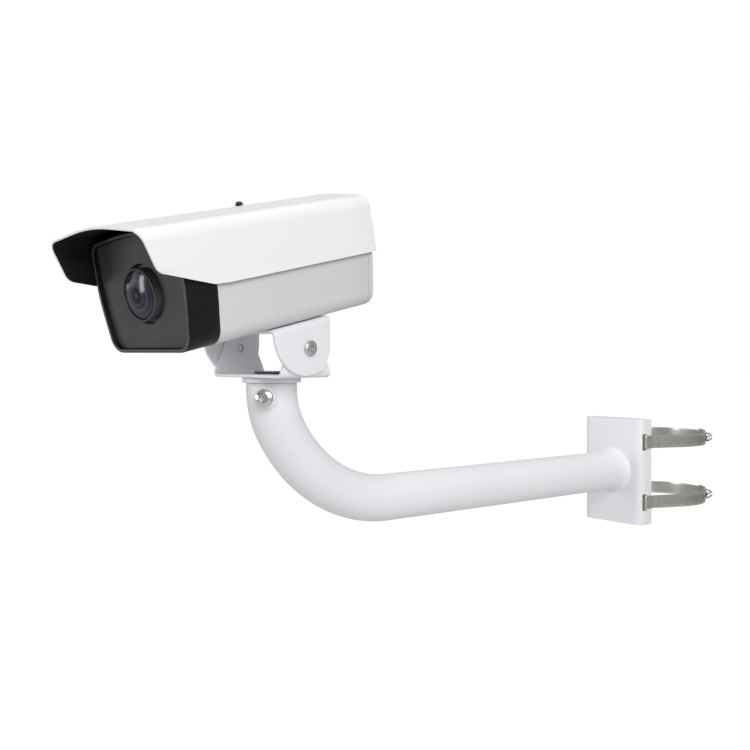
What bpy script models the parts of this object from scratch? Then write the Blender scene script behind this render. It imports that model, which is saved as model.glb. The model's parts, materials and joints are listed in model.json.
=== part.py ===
"""Pole-mounted security camera: strap-on mount box, swan-neck arm, pan and tilt bracket,
housing with sliding sun shield, lens, infrared-cut filter and boards.

Frame: origin at the centre of the mount box's back face, +Z up, +Y into the pole.
The arm runs along -Y and the camera looks along -Y, turned by PAN_REST and TILT_REST.
Inside the housing x is across, -y is forwards (called t below) and z is up (called u),
all measured from the tilt axis.  Lengths are metres, angles are degrees.
"""
import math

import bmesh
import bpy
from mathutils import Euler, Vector

# ---------------------------------------------------------------- driving dimensions
GAP = 0.0003                 # air between two pieces that touch
RUN = 0.0006                 # air round a pin, a screw or a slider
CHORD_ERROR = 0.0002         # how far a faceted fillet may lie inside its true arc

MOUNT_WIDTH = 0.070
MOUNT_HEIGHT = 0.104
MOUNT_DEPTH = 0.0176
MOUNT_SHEET = 0.003
MOUNT_BEND = 0.007           # outer radius of the box's folded edges
STRAP_SPACING = 0.0595       # between the two straps' centre planes
SLOT_HEIGHT = 0.0165
SLOT_DEPTH = 0.0062
SLOT_FROM_BACK = 0.0078

POLE_RADIUS = 0.0508
STRAP_WIDTH = 0.0127
STRAP_SHEET = 0.0009
WORM_ANGLE = 52.0            # where round the pole the worm housings sit
WORM_LENGTH = 0.014
WORM_HEIGHT = 0.0088
WORM_SCREW_RADIUS = 0.0030

ARM_REACH = 0.4263           # pole face to pan axis
TUBE_RADIUS = 0.019
TUBE_WALL = 0.0025
TUBE_TOP = 0.096             # height of the open end above the arm's axis
BEND_RADIUS = 0.118
BEND_SWEEP = 60.0            # the wide bend turns this far, a tighter one does the rest
TUBE_END = 0.004             # straight stretch at the open end
WELD_WIDTH = 0.005
CABLE_HOLE_RADIUS = 0.0065
CABLE_EXIT_RISE = 0.0120     # back plate's cable hole above the arm's axis

FLANGE_RADIUS = 0.022
FLANGE_SHEET = 0.0036
SPIGOT_RADIUS = 0.0145
SPIGOT_LENGTH = 0.0165
SPIGOT_THREAD_RADIUS = 0.0092
SPIGOT_NUT_ACROSS = 0.024    # across the flats
SPIGOT_NUT_SHEET = 0.0016
LOCK_DROP = 0.0103           # lock screw below the tube's open end
LOCK_ANGLE = -45.0           # direction that the lock screw faces, from +X
LOCK_BOSS_RADIUS = 0.0078
LOCK_BOSS_HEIGHT = 0.0052
LOCK_SCREW_RADIUS = 0.004

BRACKET_SHEET = 0.0025
BRACKET_BEND = 0.004
YOKE_WIDTH = 0.0764          # over the lower yoke's ears
YOKE_LENGTH = 0.049
TILT_RISE = 0.0192           # tilt axis above the yoke's floor
TILT_BOLT_RADIUS = 0.003
TILT_HEAD_RADIUS = 0.0056
TILT_HEAD_HEIGHT = 0.0032
EAR_DROP = 0.0197            # upper bracket's ears below the tilt axis
EAR_FRONT = 0.031
EAR_REAR = 0.0266            # ear's rear edge at the fold
EAR_HIP = 0.0207             # rear edge where it turns inwards
EAR_HIP_DROP = 0.0054
EAR_HEEL = 0.0125            # rear edge at the ear's lower end
EAR_NOSE_RADIUS = 0.030

PAN_REST = 8.2
TILT_REST = 12.3

HOUSING_FLOOR = 0.0195       # housing's underside above the tilt axis
BASE_HALF = 0.0430
BASE_RADIUS = 0.0125
WAIST_RISE = 0.0390          # widest level above the underside
WAIST_HALF = 0.0500
WAIST_RADIUS = 0.120
EAVES_RISE = 0.0760
EAVES_HALF = 0.0492
EAVES_RADIUS = 0.009
CROWN_RISE = 0.0825
CROWN_RADIUS = 0.150
HOUSING_WALL = 0.0025
BEZEL_FRONT = 0.106          # front rim, forwards of the tilt axis
BEZEL_DEPTH = 0.026
BEZEL_RIM = 0.0024
BEZEL_LIP = 0.006
WINDOW_RECESS = 0.0035       # window's face behind the front rim
WINDOW_SHEET = 0.0040
HOUSING_REAR = 0.073         # rear cover's face, behind the tilt axis
COVER_SHEET = 0.004
SEAL_SHEET = 0.0012

SHIELD_SHEET = 0.0017
SHIELD_SIDE_AIR = 0.0015
SHIELD_TOP_AIR = 0.0052
SHIELD_FRONT = 0.1345
SHIELD_SKIRT = 0.040         # skirt's lower edge above the housing's underside
SHIELD_TIP = 0.082
SHIELD_CHEEK = 0.126
SHIELD_CHEEK_RISE = 0.0545
SHIELD_TRAVEL = 0.008        # each way
SHIELD_SCREW_AT = 0.0085     # forwards of the tilt axis
SHIELD_SCREW_RADIUS = 0.002
SHIELD_HEAD_RADIUS = 0.0029
SHIELD_HEAD_HEIGHT = 0.0020
SHIELD_WASHER_RADIUS = 0.0034
SHIELD_WASHER_SHEET = 0.0006
RAIL_HALF = 0.009
RAIL_REACH = 0.022           # each way from the screw

LENS_RISE = 0.0395           # lens axis above the housing's underside
LENS_RADIUS = 0.0200         # the ring's flange, in the window's hole
LENS_NOSE = 0.0052           # ring's front, forwards of the window's face
LENS_STEP = 0.0022           # flange's edge to the nose's side
LENS_STEP_DEPTH = 0.0036     # flange's face behind the window's face
LENS_BORE_REAR = 0.010       # ring's rear end behind the window's face
GLASS_BULGE = 0.0030
FILTER_HALF = 0.0065
FILTER_HALF_HEIGHT = 0.0072
FILTER_TRAVEL = 0.013
BOARD_SHEET = 0.0016
GLAND_RISE = 0.026
GLAND_RADIUS = 0.008

# ---------------------------------------------------------------- derived places
STRAP_LEVELS = {"upper": STRAP_SPACING / 2, "lower": -STRAP_SPACING / 2}
POLE_Y = POLE_RADIUS + GAP
FLANGE_BASE = TUBE_TOP + GAP
YOKE_BASE = FLANGE_BASE + FLANGE_SHEET + GAP
TILT_HEIGHT = YOKE_BASE + BRACKET_SHEET + TILT_RISE
YOKE_HALF = YOKE_WIDTH / 2
EAR_HALF = YOKE_HALF + GAP + BRACKET_SHEET
BRACKET_TOP = HOUSING_FLOOR - GAP
YOKE_TIP_RADIUS = BRACKET_TOP - BRACKET_BEND - RUN   # passes under the bracket's folds
LENS_LEVEL = HOUSING_FLOOR + LENS_RISE
BEZEL_REAR = BEZEL_FRONT - BEZEL_DEPTH
SHELL_FRONT = BEZEL_REAR - GAP
COVER_FRONT = -HOUSING_REAR + COVER_SHEET
SHELL_REAR = COVER_FRONT + SEAL_SHEET + 2 * GAP
WINDOW_FACE = BEZEL_FRONT - WINDOW_RECESS
WINDOW_BACK = WINDOW_FACE - WINDOW_SHEET
NOSE_RADIUS = LENS_RADIUS - LENS_STEP
GLASS_RADIUS = NOSE_RADIUS - 0.0014
BARREL_RADIUS = GLASS_RADIUS - 0.0029
TRAY_TOP = HOUSING_FLOOR + HOUSING_WALL + GAP + 0.002
SHIELD_CROWN = HOUSING_FLOOR + CROWN_RISE + SHIELD_TOP_AIR

FORWARD = (math.radians(90), 0, 0)                   # local z becomes t, local y becomes u
SIDEWAYS = (math.radians(90), 0, math.radians(-90))  # local x becomes t, local y becomes u

COLOURS = {
    "white_paint": ((0.80, 0.80, 0.82, 1), 0.35, 0.0),
    "shield_paint": ((0.86, 0.86, 0.86, 1), 0.30, 0.0),
    "grey_paint": ((0.66, 0.67, 0.68, 1), 0.38, 0.2),
    "black_plastic": ((0.012, 0.012, 0.012, 1), 0.45, 0.0),
    "smoked_window": ((0.055, 0.055, 0.058, 1), 0.15, 0.0),
    "stainless": ((0.60, 0.59, 0.56, 1), 0.25, 1.0),
    "black_anodised": ((0.015, 0.015, 0.017, 1), 0.35, 0.6),
    "coated_glass": ((0.05, 0.05, 0.12, 1), 0.03, 0.0),
    "rubber": ((0.02, 0.02, 0.02, 1), 0.8, 0.0),
    "board": ((0.01, 0.14, 0.05, 1), 0.5, 0.0),
    "silicon": ((0.03, 0.03, 0.05, 1), 0.2, 0.3),
    "led": ((0.75, 0.72, 0.55, 1), 0.2, 0.0),
    "aluminium": ((0.62, 0.63, 0.64, 1), 0.4, 1.0),
}


# ---------------------------------------------------------------- scene set-up
for old in list(bpy.data.objects):
    bpy.data.objects.remove(old, do_unlink=True)

PARTS = bpy.data.collections.new("security_camera")
CUTTERS = bpy.data.collections.new("cutters")
bpy.context.scene.collection.children.link(PARTS)
bpy.context.scene.collection.children.link(CUTTERS)


def make_empty(name, location, rotation, parent=None):
    empty = bpy.data.objects.new(name, None)
    empty.location = location
    empty.rotation_euler = rotation
    empty.parent = parent
    PARTS.objects.link(empty)
    return empty


PAN = make_empty("pan_axis", (0, -ARM_REACH, 0), (0, 0, math.radians(PAN_REST)))
TILT = make_empty("tilt_axis", (0, 0, TILT_HEIGHT), (math.radians(TILT_REST), 0, 0), PAN)


def make_material(node, finish):
    """Each sub-part has its own Principled material, coloured by its finish."""
    colour, roughness, metallic = COLOURS[finish]
    material = bpy.data.materials.new(node)
    material.use_nodes = True
    shader = material.node_tree.nodes["Principled BSDF"]
    shader.inputs["Base Color"].default_value = colour
    shader.inputs["Roughness"].default_value = roughness
    shader.inputs["Metallic"].default_value = metallic
    material.diffuse_color = colour
    return material


def add_object(name, mesh, place, rotation, parent, finish):
    """Links a mesh as a part, or as a hidden cutter where it has no finish."""
    made = bpy.data.objects.new(name, mesh)
    made.location = place
    made.rotation_euler = rotation
    made.parent = parent
    if finish is None:
        CUTTERS.objects.link(made)
        made.hide_render = True
        made.display_type = "WIRE"
    else:
        PARTS.objects.link(made)
        mesh.materials.append(make_material(name, finish))
    mesh.shade_smooth()
    mesh.set_sharp_from_angle(angle=math.radians(32))
    return made


# ---------------------------------------------------------------- outlines
def fillet(corners):
    """Turns (x, y, radius) corners into points, with an arc where the radius isn't 0."""
    points = []
    count = len(corners)
    for index in range(count):
        x, y, radius = corners[index]
        before = corners[index - 1]
        after = corners[(index + 1) % count]
        to_before = (before[0] - x, before[1] - y)
        to_after = (after[0] - x, after[1] - y)
        length_b = math.hypot(*to_before)
        length_a = math.hypot(*to_after)
        cosine = (to_before[0] * to_after[0] + to_before[1] * to_after[1]) / length_a / length_b
        inside = math.acos(max(-1.0, min(1.0, cosine)))
        turn = math.pi - inside
        if radius <= 0 or turn < 1e-4:
            points.append((x, y))
            continue
        reach = radius * math.tan(turn / 2)
        start = (x + to_before[0] / length_b * reach, y + to_before[1] / length_b * reach)
        side = 1.0 if to_before[0] * to_after[1] - to_before[1] * to_after[0] < 0 else -1.0
        heading = math.atan2(-to_before[1], -to_before[0])
        centre = (start[0] - side * radius * math.sin(heading), start[1] + side * radius * math.cos(heading))
        step_angle = 2 * math.acos(1 - min(1.0, CHORD_ERROR / radius))
        steps = max(1, math.ceil(turn / step_angle))
        for step in range(steps + 1):
            angle = heading - side * math.pi / 2 + side * turn * step / steps
            points.append((centre[0] + radius * math.cos(angle), centre[1] + radius * math.sin(angle)))
    return points


def circle(radius, centre=(0, 0), sides=16):
    return [(centre[0] + radius * math.cos(2 * math.pi * k / sides),
             centre[1] + radius * math.sin(2 * math.pi * k / sides)) for k in range(sides)]


def rectangle(x0, x1, y0, y1, radius=0.0):
    return fillet([(x0, y0, radius), (x1, y0, radius), (x1, y1, radius), (x0, y1, radius)])


def tangent_arc(point, centre, radius, steps):
    """An arc round centre between the tangents from point and from its mirror image in x."""
    across, up = point[0] - centre[0], point[1] - centre[1]
    first = math.atan2(up, across) + math.acos(radius / math.hypot(across, up))
    angles = [first + (math.pi - 2 * first) * step / steps for step in range(steps + 1)]
    return [(centre[0] + radius * math.cos(a), centre[1] + radius * math.sin(a)) for a in angles]


def hexagon(across_flats):
    corner = across_flats / math.sqrt(3)
    return circle(corner, sides=6)


def housing_section(inset):
    """The housing's closed cross-section, moved inwards by inset on every side."""
    half = [(0.0, CROWN_RISE, CROWN_RADIUS), (EAVES_HALF, EAVES_RISE, EAVES_RADIUS),
            (WAIST_HALF, WAIST_RISE, WAIST_RADIUS), (BASE_HALF, 0.0, BASE_RADIUS)]
    corners = [(-x, y, r) for x, y, r in half[:0:-1]] + half
    corners.reverse()
    count = len(corners)
    moved = []
    for index in range(count):
        x, y, radius = corners[index]
        normals = []
        for a, b in ((corners[index - 1], corners[index]), (corners[index], corners[(index + 1) % count])):
            length = math.hypot(b[0] - a[0], b[1] - a[1])
            normals.append((-(b[1] - a[1]) / length, (b[0] - a[0]) / length))
        sum_x = normals[0][0] + normals[1][0]
        sum_y = normals[0][1] + normals[1][1]
        scale = 2.0 / (sum_x * sum_x + sum_y * sum_y)
        moved.append((x + sum_x * scale * inset, y + HOUSING_FLOOR + sum_y * scale * inset,
                      max(radius - inset, 0.001)))
    return fillet(moved)


def channel_section(half_width, base, tip, sheet, bend):
    """A U of folded sheet: outer half width, level of its floor's outside, level of its tips."""
    rise = 1.0 if tip > base else -1.0
    inner = half_width - sheet
    floor = base + rise * sheet
    return fillet([(-half_width, tip, 0), (-half_width, base, bend), (half_width, base, bend),
                   (half_width, tip, 0), (inner, tip, 0), (inner, floor, bend - sheet),
                   (-inner, floor, bend - sheet), (-inner, tip, 0)])


# ---------------------------------------------------------------- solids
def curve_to_mesh(curve, name):
    """Evaluates a curve object, welds its caps and returns a plain mesh."""
    holder = bpy.data.objects.new(name + "_outline", curve)
    bpy.context.scene.collection.objects.link(holder)
    bpy.context.view_layer.update()
    evaluated = holder.evaluated_get(bpy.context.evaluated_depsgraph_get())
    mesh = bpy.data.meshes.new_from_object(evaluated)
    mesh.materials.clear()
    bpy.data.objects.remove(holder, do_unlink=True)
    work = bmesh.new()
    work.from_mesh(mesh)
    bmesh.ops.remove_doubles(work, verts=work.verts, dist=1e-6)
    bmesh.ops.recalc_face_normals(work, faces=work.faces)
    work.to_mesh(mesh)
    work.free()
    mesh.name = name
    return mesh


def outline_curve(name, outlines, depth):
    curve = bpy.data.curves.new(name, "CURVE")
    curve.dimensions = "2D"
    curve.fill_mode = "BOTH"
    curve.extrude = depth / 2
    for points in outlines:
        spline = curve.splines.new("POLY")
        spline.points.add(len(points) - 1)
        for point, (x, y) in zip(spline.points, points):
            point.co = (x, y, 0, 1)
        spline.use_cyclic_u = True
    return curve


def prism(name, outlines, depth, place, rotation, parent=None, finish=None):
    """Extrudes flat outlines (the first is the outside, the rest are holes) by depth."""
    mesh = curve_to_mesh(outline_curve(name, outlines, depth), name)
    return add_object(name, mesh, place, rotation, parent, finish)


def extrusion(name, outlines, rear, front, finish=None, parent=TILT):
    """A prism along the camera's axis, from rear to front."""
    return prism(name, outlines, front - rear, (0, -(rear + front) / 2, 0), FORWARD, parent, finish)


def turned(name, profile, place, rotation, parent=None, finish=None, sides=16):
    """Turns (radius, height) points, listed from the top down the outer side, round local Z."""
    mesh = bpy.data.meshes.new(name)
    ring = profile[0][0] > 0 or profile[-1][0] > 0
    edges = [(k, k + 1) for k in range(len(profile) - 1)]
    if ring:
        edges.append((len(profile) - 1, 0))
    mesh.from_pydata([(r, 0, z) for r, z in profile], edges, [])
    made = add_object(name, mesh, place, rotation, parent, finish)
    screw = made.modifiers.new("turn", "SCREW")
    screw.axis = "Z"
    screw.angle = math.radians(360)
    screw.steps = sides
    screw.render_steps = sides
    screw.use_merge_vertices = True
    screw.merge_threshold = 0.00001
    screw.use_smooth_shade = True
    weld = made.modifiers.new("close", "WELD")
    weld.merge_threshold = 0.00001
    return made


def cylinder(name, radius, length, place, rotation, parent=None, finish=None, sides=16):
    return turned(name, [(0, length / 2), (radius, length / 2), (radius, -length / 2), (0, -length / 2)],
                  place, rotation, parent, finish, sides)


def cut(target, cutter, operation="DIFFERENCE"):
    boolean = target.modifiers.new(cutter.name, "BOOLEAN")
    boolean.operation = operation
    boolean.object = cutter
    boolean.solver = "EXACT"


def socket_screw(name, head_radius, head_height, shank_radius, shank_length, socket, place, rotation,
                 parent, finish="stainless", sides=14):
    """A screw along local Z: its head is above z = 0, domed, with a hexagon socket."""
    profile = [(0, head_height), (head_radius * 0.62, head_height), (head_radius, head_height * 0.35),
               (head_radius, 0), (shank_radius, 0), (shank_radius, -shank_length), (0, -shank_length)]
    screw = turned(name, profile, place, rotation, parent, finish, sides)
    top = socket_place(place, rotation, head_height)
    cut(screw, prism(name + "_socket", [hexagon(socket)], head_height * 1.2, top, rotation, parent))
    return screw


def socket_place(place, rotation, height):
    """A point that lies height along local Z of something at place."""
    return Vector(place) + Euler(rotation).to_matrix() @ Vector((0, 0, height))


# ---------------------------------------------------------------- mount box and straps
def strap_path(offset):
    """The strap's loop, moved outwards by offset: through the box's slots and round the pole."""
    radius = POLE_RADIUS + GAP + offset
    half = MOUNT_WIDTH / 2 + GAP + offset
    corner = (half, -GAP)
    arc = tangent_arc(corner, (0, POLE_Y), radius, 40)
    slot_y = -SLOT_FROM_BACK - SLOT_DEPTH / 2
    inside = half - MOUNT_SHEET - 2 * GAP - 0.004
    right = [(inside, slot_y - offset), (half, slot_y + 0.0012 - offset), corner]
    return right + arc + [(-x, y) for x, y in reversed(right)]


def build_mount():
    half = MOUNT_WIDTH / 2
    section = channel_section(half, -MOUNT_DEPTH, 0.0, MOUNT_SHEET, MOUNT_BEND)
    channel = prism("mount_channel", [section], MOUNT_HEIGHT, (0, 0, 0), (0, 0, 0), None, "white_paint")
    cable_hole = cylinder("mount_cable_hole", CABLE_HOLE_RADIUS + 0.002, MOUNT_DEPTH * 3,
                          (0, -MOUNT_DEPTH / 2, 0), FORWARD)
    cut(channel, cable_hole)
    back_half = half - MOUNT_SHEET - GAP
    back = prism("mount_back_plate", [rectangle(-back_half, back_half, -MOUNT_HEIGHT / 2, MOUNT_HEIGHT / 2)],
                 MOUNT_SHEET, (0, -MOUNT_SHEET / 2, 0), FORWARD, None, "white_paint")
    cut(back, cylinder("back_cable_hole", CABLE_HOLE_RADIUS, MOUNT_DEPTH, (0, 0, CABLE_EXIT_RISE), FORWARD))
    for name, level in STRAP_LEVELS.items():
        slot_y = -SLOT_FROM_BACK - SLOT_DEPTH / 2
        slot = prism(name + "_slot", [rectangle(-MOUNT_WIDTH, MOUNT_WIDTH, slot_y - SLOT_DEPTH / 2,
                                                slot_y + SLOT_DEPTH / 2)],
                     SLOT_HEIGHT, (0, 0, level), (0, 0, 0))
        cut(channel, slot)


def build_strap(name, level):
    prism(name + "_strap", [strap_path(STRAP_SHEET), strap_path(0.0)], STRAP_WIDTH,
          (0, 0, level), (0, 0, 0), None, "stainless")
    outer = POLE_RADIUS + GAP + STRAP_SHEET
    bow = outer - math.sqrt(outer ** 2 - (WORM_LENGTH / 2) ** 2)
    centre = outer + GAP + WORM_SCREW_RADIUS + 0.0010
    angle = math.radians(WORM_ANGLE)
    half = STRAP_WIDTH / 2 + GAP
    cheek = half + 0.0010
    root = outer - STRAP_SHEET - bow
    roof = outer + GAP
    top = outer + WORM_HEIGHT
    section = fillet([(root, -cheek, 0), (top, -cheek, 0.0025), (top, cheek, 0.0025), (root, cheek, 0),
                      (root, half, 0), (roof, half, 0), (roof, -half, 0), (root, -half, 0)])
    bore = circle(WORM_SCREW_RADIUS + RUN / 2, (centre, 0), 16)
    tangent = (math.radians(90), 0, angle)
    place = (0, POLE_Y, level)
    prism(name + "_worm_housing", [section, bore], WORM_LENGTH, place, tangent, None, "stainless")
    head = centre - outer
    reach = WORM_LENGTH / 2 + GAP
    profile = [(0, reach + head), (head * 0.8, reach + head), (head, reach + head * 0.8), (head, reach),
               (WORM_SCREW_RADIUS, reach), (WORM_SCREW_RADIUS, -reach - 0.003), (0, -reach - 0.003)]
    screw_place = (centre * math.cos(angle), POLE_Y + centre * math.sin(angle), level)
    screw = turned(name + "_worm_screw", profile, screw_place, tangent, None, "stainless", 14)
    slot = prism(name + "_worm_slot", [rectangle(-0.007, 0.007, -0.0006, 0.0006)], 0.003,
                 socket_place(screw_place, tangent, reach + head), tangent)
    cut(screw, slot)


# ---------------------------------------------------------------- arm
def arm_points():
    """The arm's centreline: straight, a wide bend, a tighter one, and a short upright end."""
    sweep = math.radians(BEND_SWEEP)
    wide_rise = BEND_RADIUS * (1 - math.cos(sweep))
    tight = (TUBE_TOP - TUBE_END - wide_rise) / math.cos(sweep)
    length = BEND_RADIUS * math.sin(sweep) + tight * (1 - math.sin(sweep))
    start = -(ARM_REACH - length)
    points = [(0, -MOUNT_DEPTH - GAP, 0), (0, start, 0)]
    for step in range(1, 9):
        angle = sweep * step / 8
        points.append((0, start - BEND_RADIUS * math.sin(angle), BEND_RADIUS * (1 - math.cos(angle))))
    for step in range(1, 7):
        angle = sweep + (math.pi / 2 - sweep) * step / 6
        points.append((0, start - BEND_RADIUS * math.sin(sweep) - tight * (math.sin(angle) - math.sin(sweep)),
                       wide_rise + tight * (math.cos(sweep) - math.cos(angle))))
    points.append((0, -ARM_REACH, TUBE_TOP))
    return points


def arm_rod(name, radius, extra, finish=None):
    """A solid rod along the arm, longer than the arm by extra at each end."""
    points = arm_points()
    points[0] = (0, points[0][1] + extra, 0)
    points[-1] = (0, points[-1][1], points[-1][2] + extra)
    curve = bpy.data.curves.new(name, "CURVE")
    curve.dimensions = "3D"
    curve.bevel_depth = radius
    curve.bevel_resolution = 10
    curve.use_fill_caps = True
    spline = curve.splines.new("POLY")
    spline.points.add(len(points) - 1)
    for point, place in zip(spline.points, points):
        point.co = (*place, 1)
    return add_object(name, curve_to_mesh(curve, name), (0, 0, 0), (0, 0, 0), None, finish)


def build_arm():
    tube = arm_rod("arm_tube", TUBE_RADIUS, 0.0, "white_paint")
    cut(tube, arm_rod("arm_bore", TUBE_RADIUS - TUBE_WALL, 0.004))
    inner = TUBE_RADIUS + GAP
    weld = [(inner, WELD_WIDTH), (inner + 0.0008, WELD_WIDTH), (inner + 0.0030, WELD_WIDTH * 0.4),
            (inner + 0.0038, 0), (inner, 0)]
    turned("arm_weld", weld, (0, -MOUNT_DEPTH - GAP, 0), FORWARD, None, "white_paint", 24)
    level = TUBE_TOP - LOCK_DROP
    angle = math.radians(LOCK_ANGLE)
    outward = (0, math.radians(90), angle)
    seat = TUBE_RADIUS + LOCK_BOSS_HEIGHT
    boss_root = TUBE_RADIUS * 0.7
    axis_point = (0, -ARM_REACH, level)
    bore = LOCK_SCREW_RADIUS + RUN / 2
    boss_profile = [(bore, seat), (LOCK_BOSS_RADIUS - 0.0012, seat), (LOCK_BOSS_RADIUS, seat - 0.0012),
                    (LOCK_BOSS_RADIUS, boss_root), (bore, boss_root)]
    boss = turned("pan_lock_boss", boss_profile, axis_point, outward, None, "white_paint", 20)
    cut(boss, arm_rod("boss_seat", TUBE_RADIUS + GAP, 0.004))
    hole_place = socket_place(axis_point, outward, TUBE_RADIUS)
    cut(tube, cylinder("lock_hole", bore, TUBE_WALL * 5, hole_place, outward))
    shank = seat + GAP - SPIGOT_RADIUS - GAP
    socket_screw("pan_lock_screw", 0.0066, 0.0046, LOCK_SCREW_RADIUS, shank, 0.005,
                 socket_place(axis_point, outward, seat + GAP), outward, None)


# ---------------------------------------------------------------- pan joint and yoke
def build_pan():
    bore = CABLE_HOLE_RADIUS
    stub = BRACKET_SHEET + 2 * GAP + SPIGOT_NUT_SHEET
    top = FLANGE_BASE + FLANGE_SHEET
    profile = [(bore, top + stub), (SPIGOT_THREAD_RADIUS, top + stub), (SPIGOT_THREAD_RADIUS, top),
               (FLANGE_RADIUS, top), (FLANGE_RADIUS, FLANGE_BASE), (SPIGOT_RADIUS, FLANGE_BASE),
               (SPIGOT_RADIUS, TUBE_TOP - SPIGOT_LENGTH), (bore, TUBE_TOP - SPIGOT_LENGTH)]
    turned("pan_spigot", profile, (0, 0, 0), (0, 0, 0), PAN, "white_paint", 28)
    nut_hole = circle(SPIGOT_THREAD_RADIUS + GAP, sides=20)
    nut_level = YOKE_BASE + BRACKET_SHEET + GAP + SPIGOT_NUT_SHEET / 2
    prism("spigot_nut", [hexagon(SPIGOT_NUT_ACROSS), nut_hole], SPIGOT_NUT_SHEET, (0, 0, nut_level),
          (0, 0, 0), PAN, "stainless")

    reach = TILT_HEIGHT + YOKE_TIP_RADIUS + 0.001
    section = channel_section(YOKE_HALF, YOKE_BASE, reach, BRACKET_SHEET, BRACKET_BEND)
    yoke = prism("lower_yoke", [section], YOKE_LENGTH, (0, 0, 0), FORWARD, PAN, "white_paint")
    half = YOKE_LENGTH / 2
    fold = (half, YOKE_BASE + BRACKET_BEND)
    tip = tangent_arc(fold, (0, TILT_HEIGHT), YOKE_TIP_RADIUS, 12)
    ear = [(-half, YOKE_BASE - 0.001), (half, YOKE_BASE - 0.001), fold] + tip + [(-fold[0], fold[1])]
    cut(yoke, prism("yoke_trim", [ear], YOKE_WIDTH * 1.2, (0, 0, 0), SIDEWAYS, PAN), "INTERSECT")
    centre_hole = SPIGOT_THREAD_RADIUS + GAP
    cut(yoke, cylinder("yoke_centre_hole", centre_hole, 0.02, (0, 0, YOKE_BASE), (0, 0, 0), PAN))
    across = (0, math.radians(90), 0)
    cut(yoke, cylinder("yoke_bolt_hole", TILT_BOLT_RADIUS + GAP, YOKE_WIDTH * 1.2, (0, 0, TILT_HEIGHT),
                       across, PAN))
    head_seat = EAR_HALF + GAP
    shank = head_seat - YOKE_HALF + BRACKET_SHEET + 0.001
    for name, side in (("near", 1), ("far", -1)):
        outward = (0, math.radians(90 * side), 0)
        socket_screw("tilt_bolt_" + name, TILT_HEAD_RADIUS, TILT_HEAD_HEIGHT, TILT_BOLT_RADIUS, shank, 0.004,
                     (side * head_seat, 0, TILT_HEIGHT), outward, PAN)


def build_bracket():
    tip = -EAR_DROP
    section = channel_section(EAR_HALF, BRACKET_TOP, tip - 0.002, BRACKET_SHEET, BRACKET_BEND)
    bracket = extrusion("upper_bracket", [section], -EAR_REAR - 0.002, EAR_FRONT + 0.002, "white_paint")
    ear = fillet([(-EAR_REAR, BRACKET_TOP + 0.001, 0), (-EAR_HIP, -EAR_HIP_DROP, 0.006),
                  (-EAR_HEEL, tip, 0.004), (EAR_FRONT, tip, EAR_NOSE_RADIUS),
                  (EAR_FRONT, BRACKET_TOP + 0.001, 0)])
    cut(bracket, prism("bracket_trim", [ear], EAR_HALF * 2.4, (0, 0, 0), SIDEWAYS, TILT), "INTERSECT")
    across = (0, math.radians(90), 0)
    bolt_hole = TILT_BOLT_RADIUS + GAP
    cut(bracket, cylinder("bracket_bolt_hole", bolt_hole, EAR_HALF * 2.4, (0, 0, 0), across, TILT))
    screw_radius = 0.002
    hole_top = TRAY_TOP + 0.002
    for name, side in (("near", 1), ("far", -1)):
        place = (side * 0.019, -0.009, BRACKET_TOP - BRACKET_SHEET - GAP)
        hole = cylinder("bracket_hole_" + name, screw_radius + GAP, 0.024,
                        (place[0], place[1], BRACKET_TOP), (0, 0, 0), TILT)
        cut(bracket, hole)
        upside_down = (math.radians(180), 0, 0)
        socket_screw("bracket_screw_" + name, 0.0036, 0.0022, screw_radius, hole_top - place[2], 0.0025,
                     place, upside_down, TILT, sides=12)
        yield hole


# ---------------------------------------------------------------- housing
def cover_screw_places():
    """Centres of the four bosses, tied to the shell's own corners."""
    low = HOUSING_FLOOR + HOUSING_WALL + 0.0034
    high = HOUSING_FLOOR + EAVES_RISE - EAVES_RADIUS * 0.55
    return {"low_near": (BASE_HALF - BASE_RADIUS, low), "low_far": (-BASE_HALF + BASE_RADIUS, low),
            "high_near": (EAVES_HALF - HOUSING_WALL - 0.0032, high),
            "high_far": (-EAVES_HALF + HOUSING_WALL + 0.0032, high)}


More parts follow.
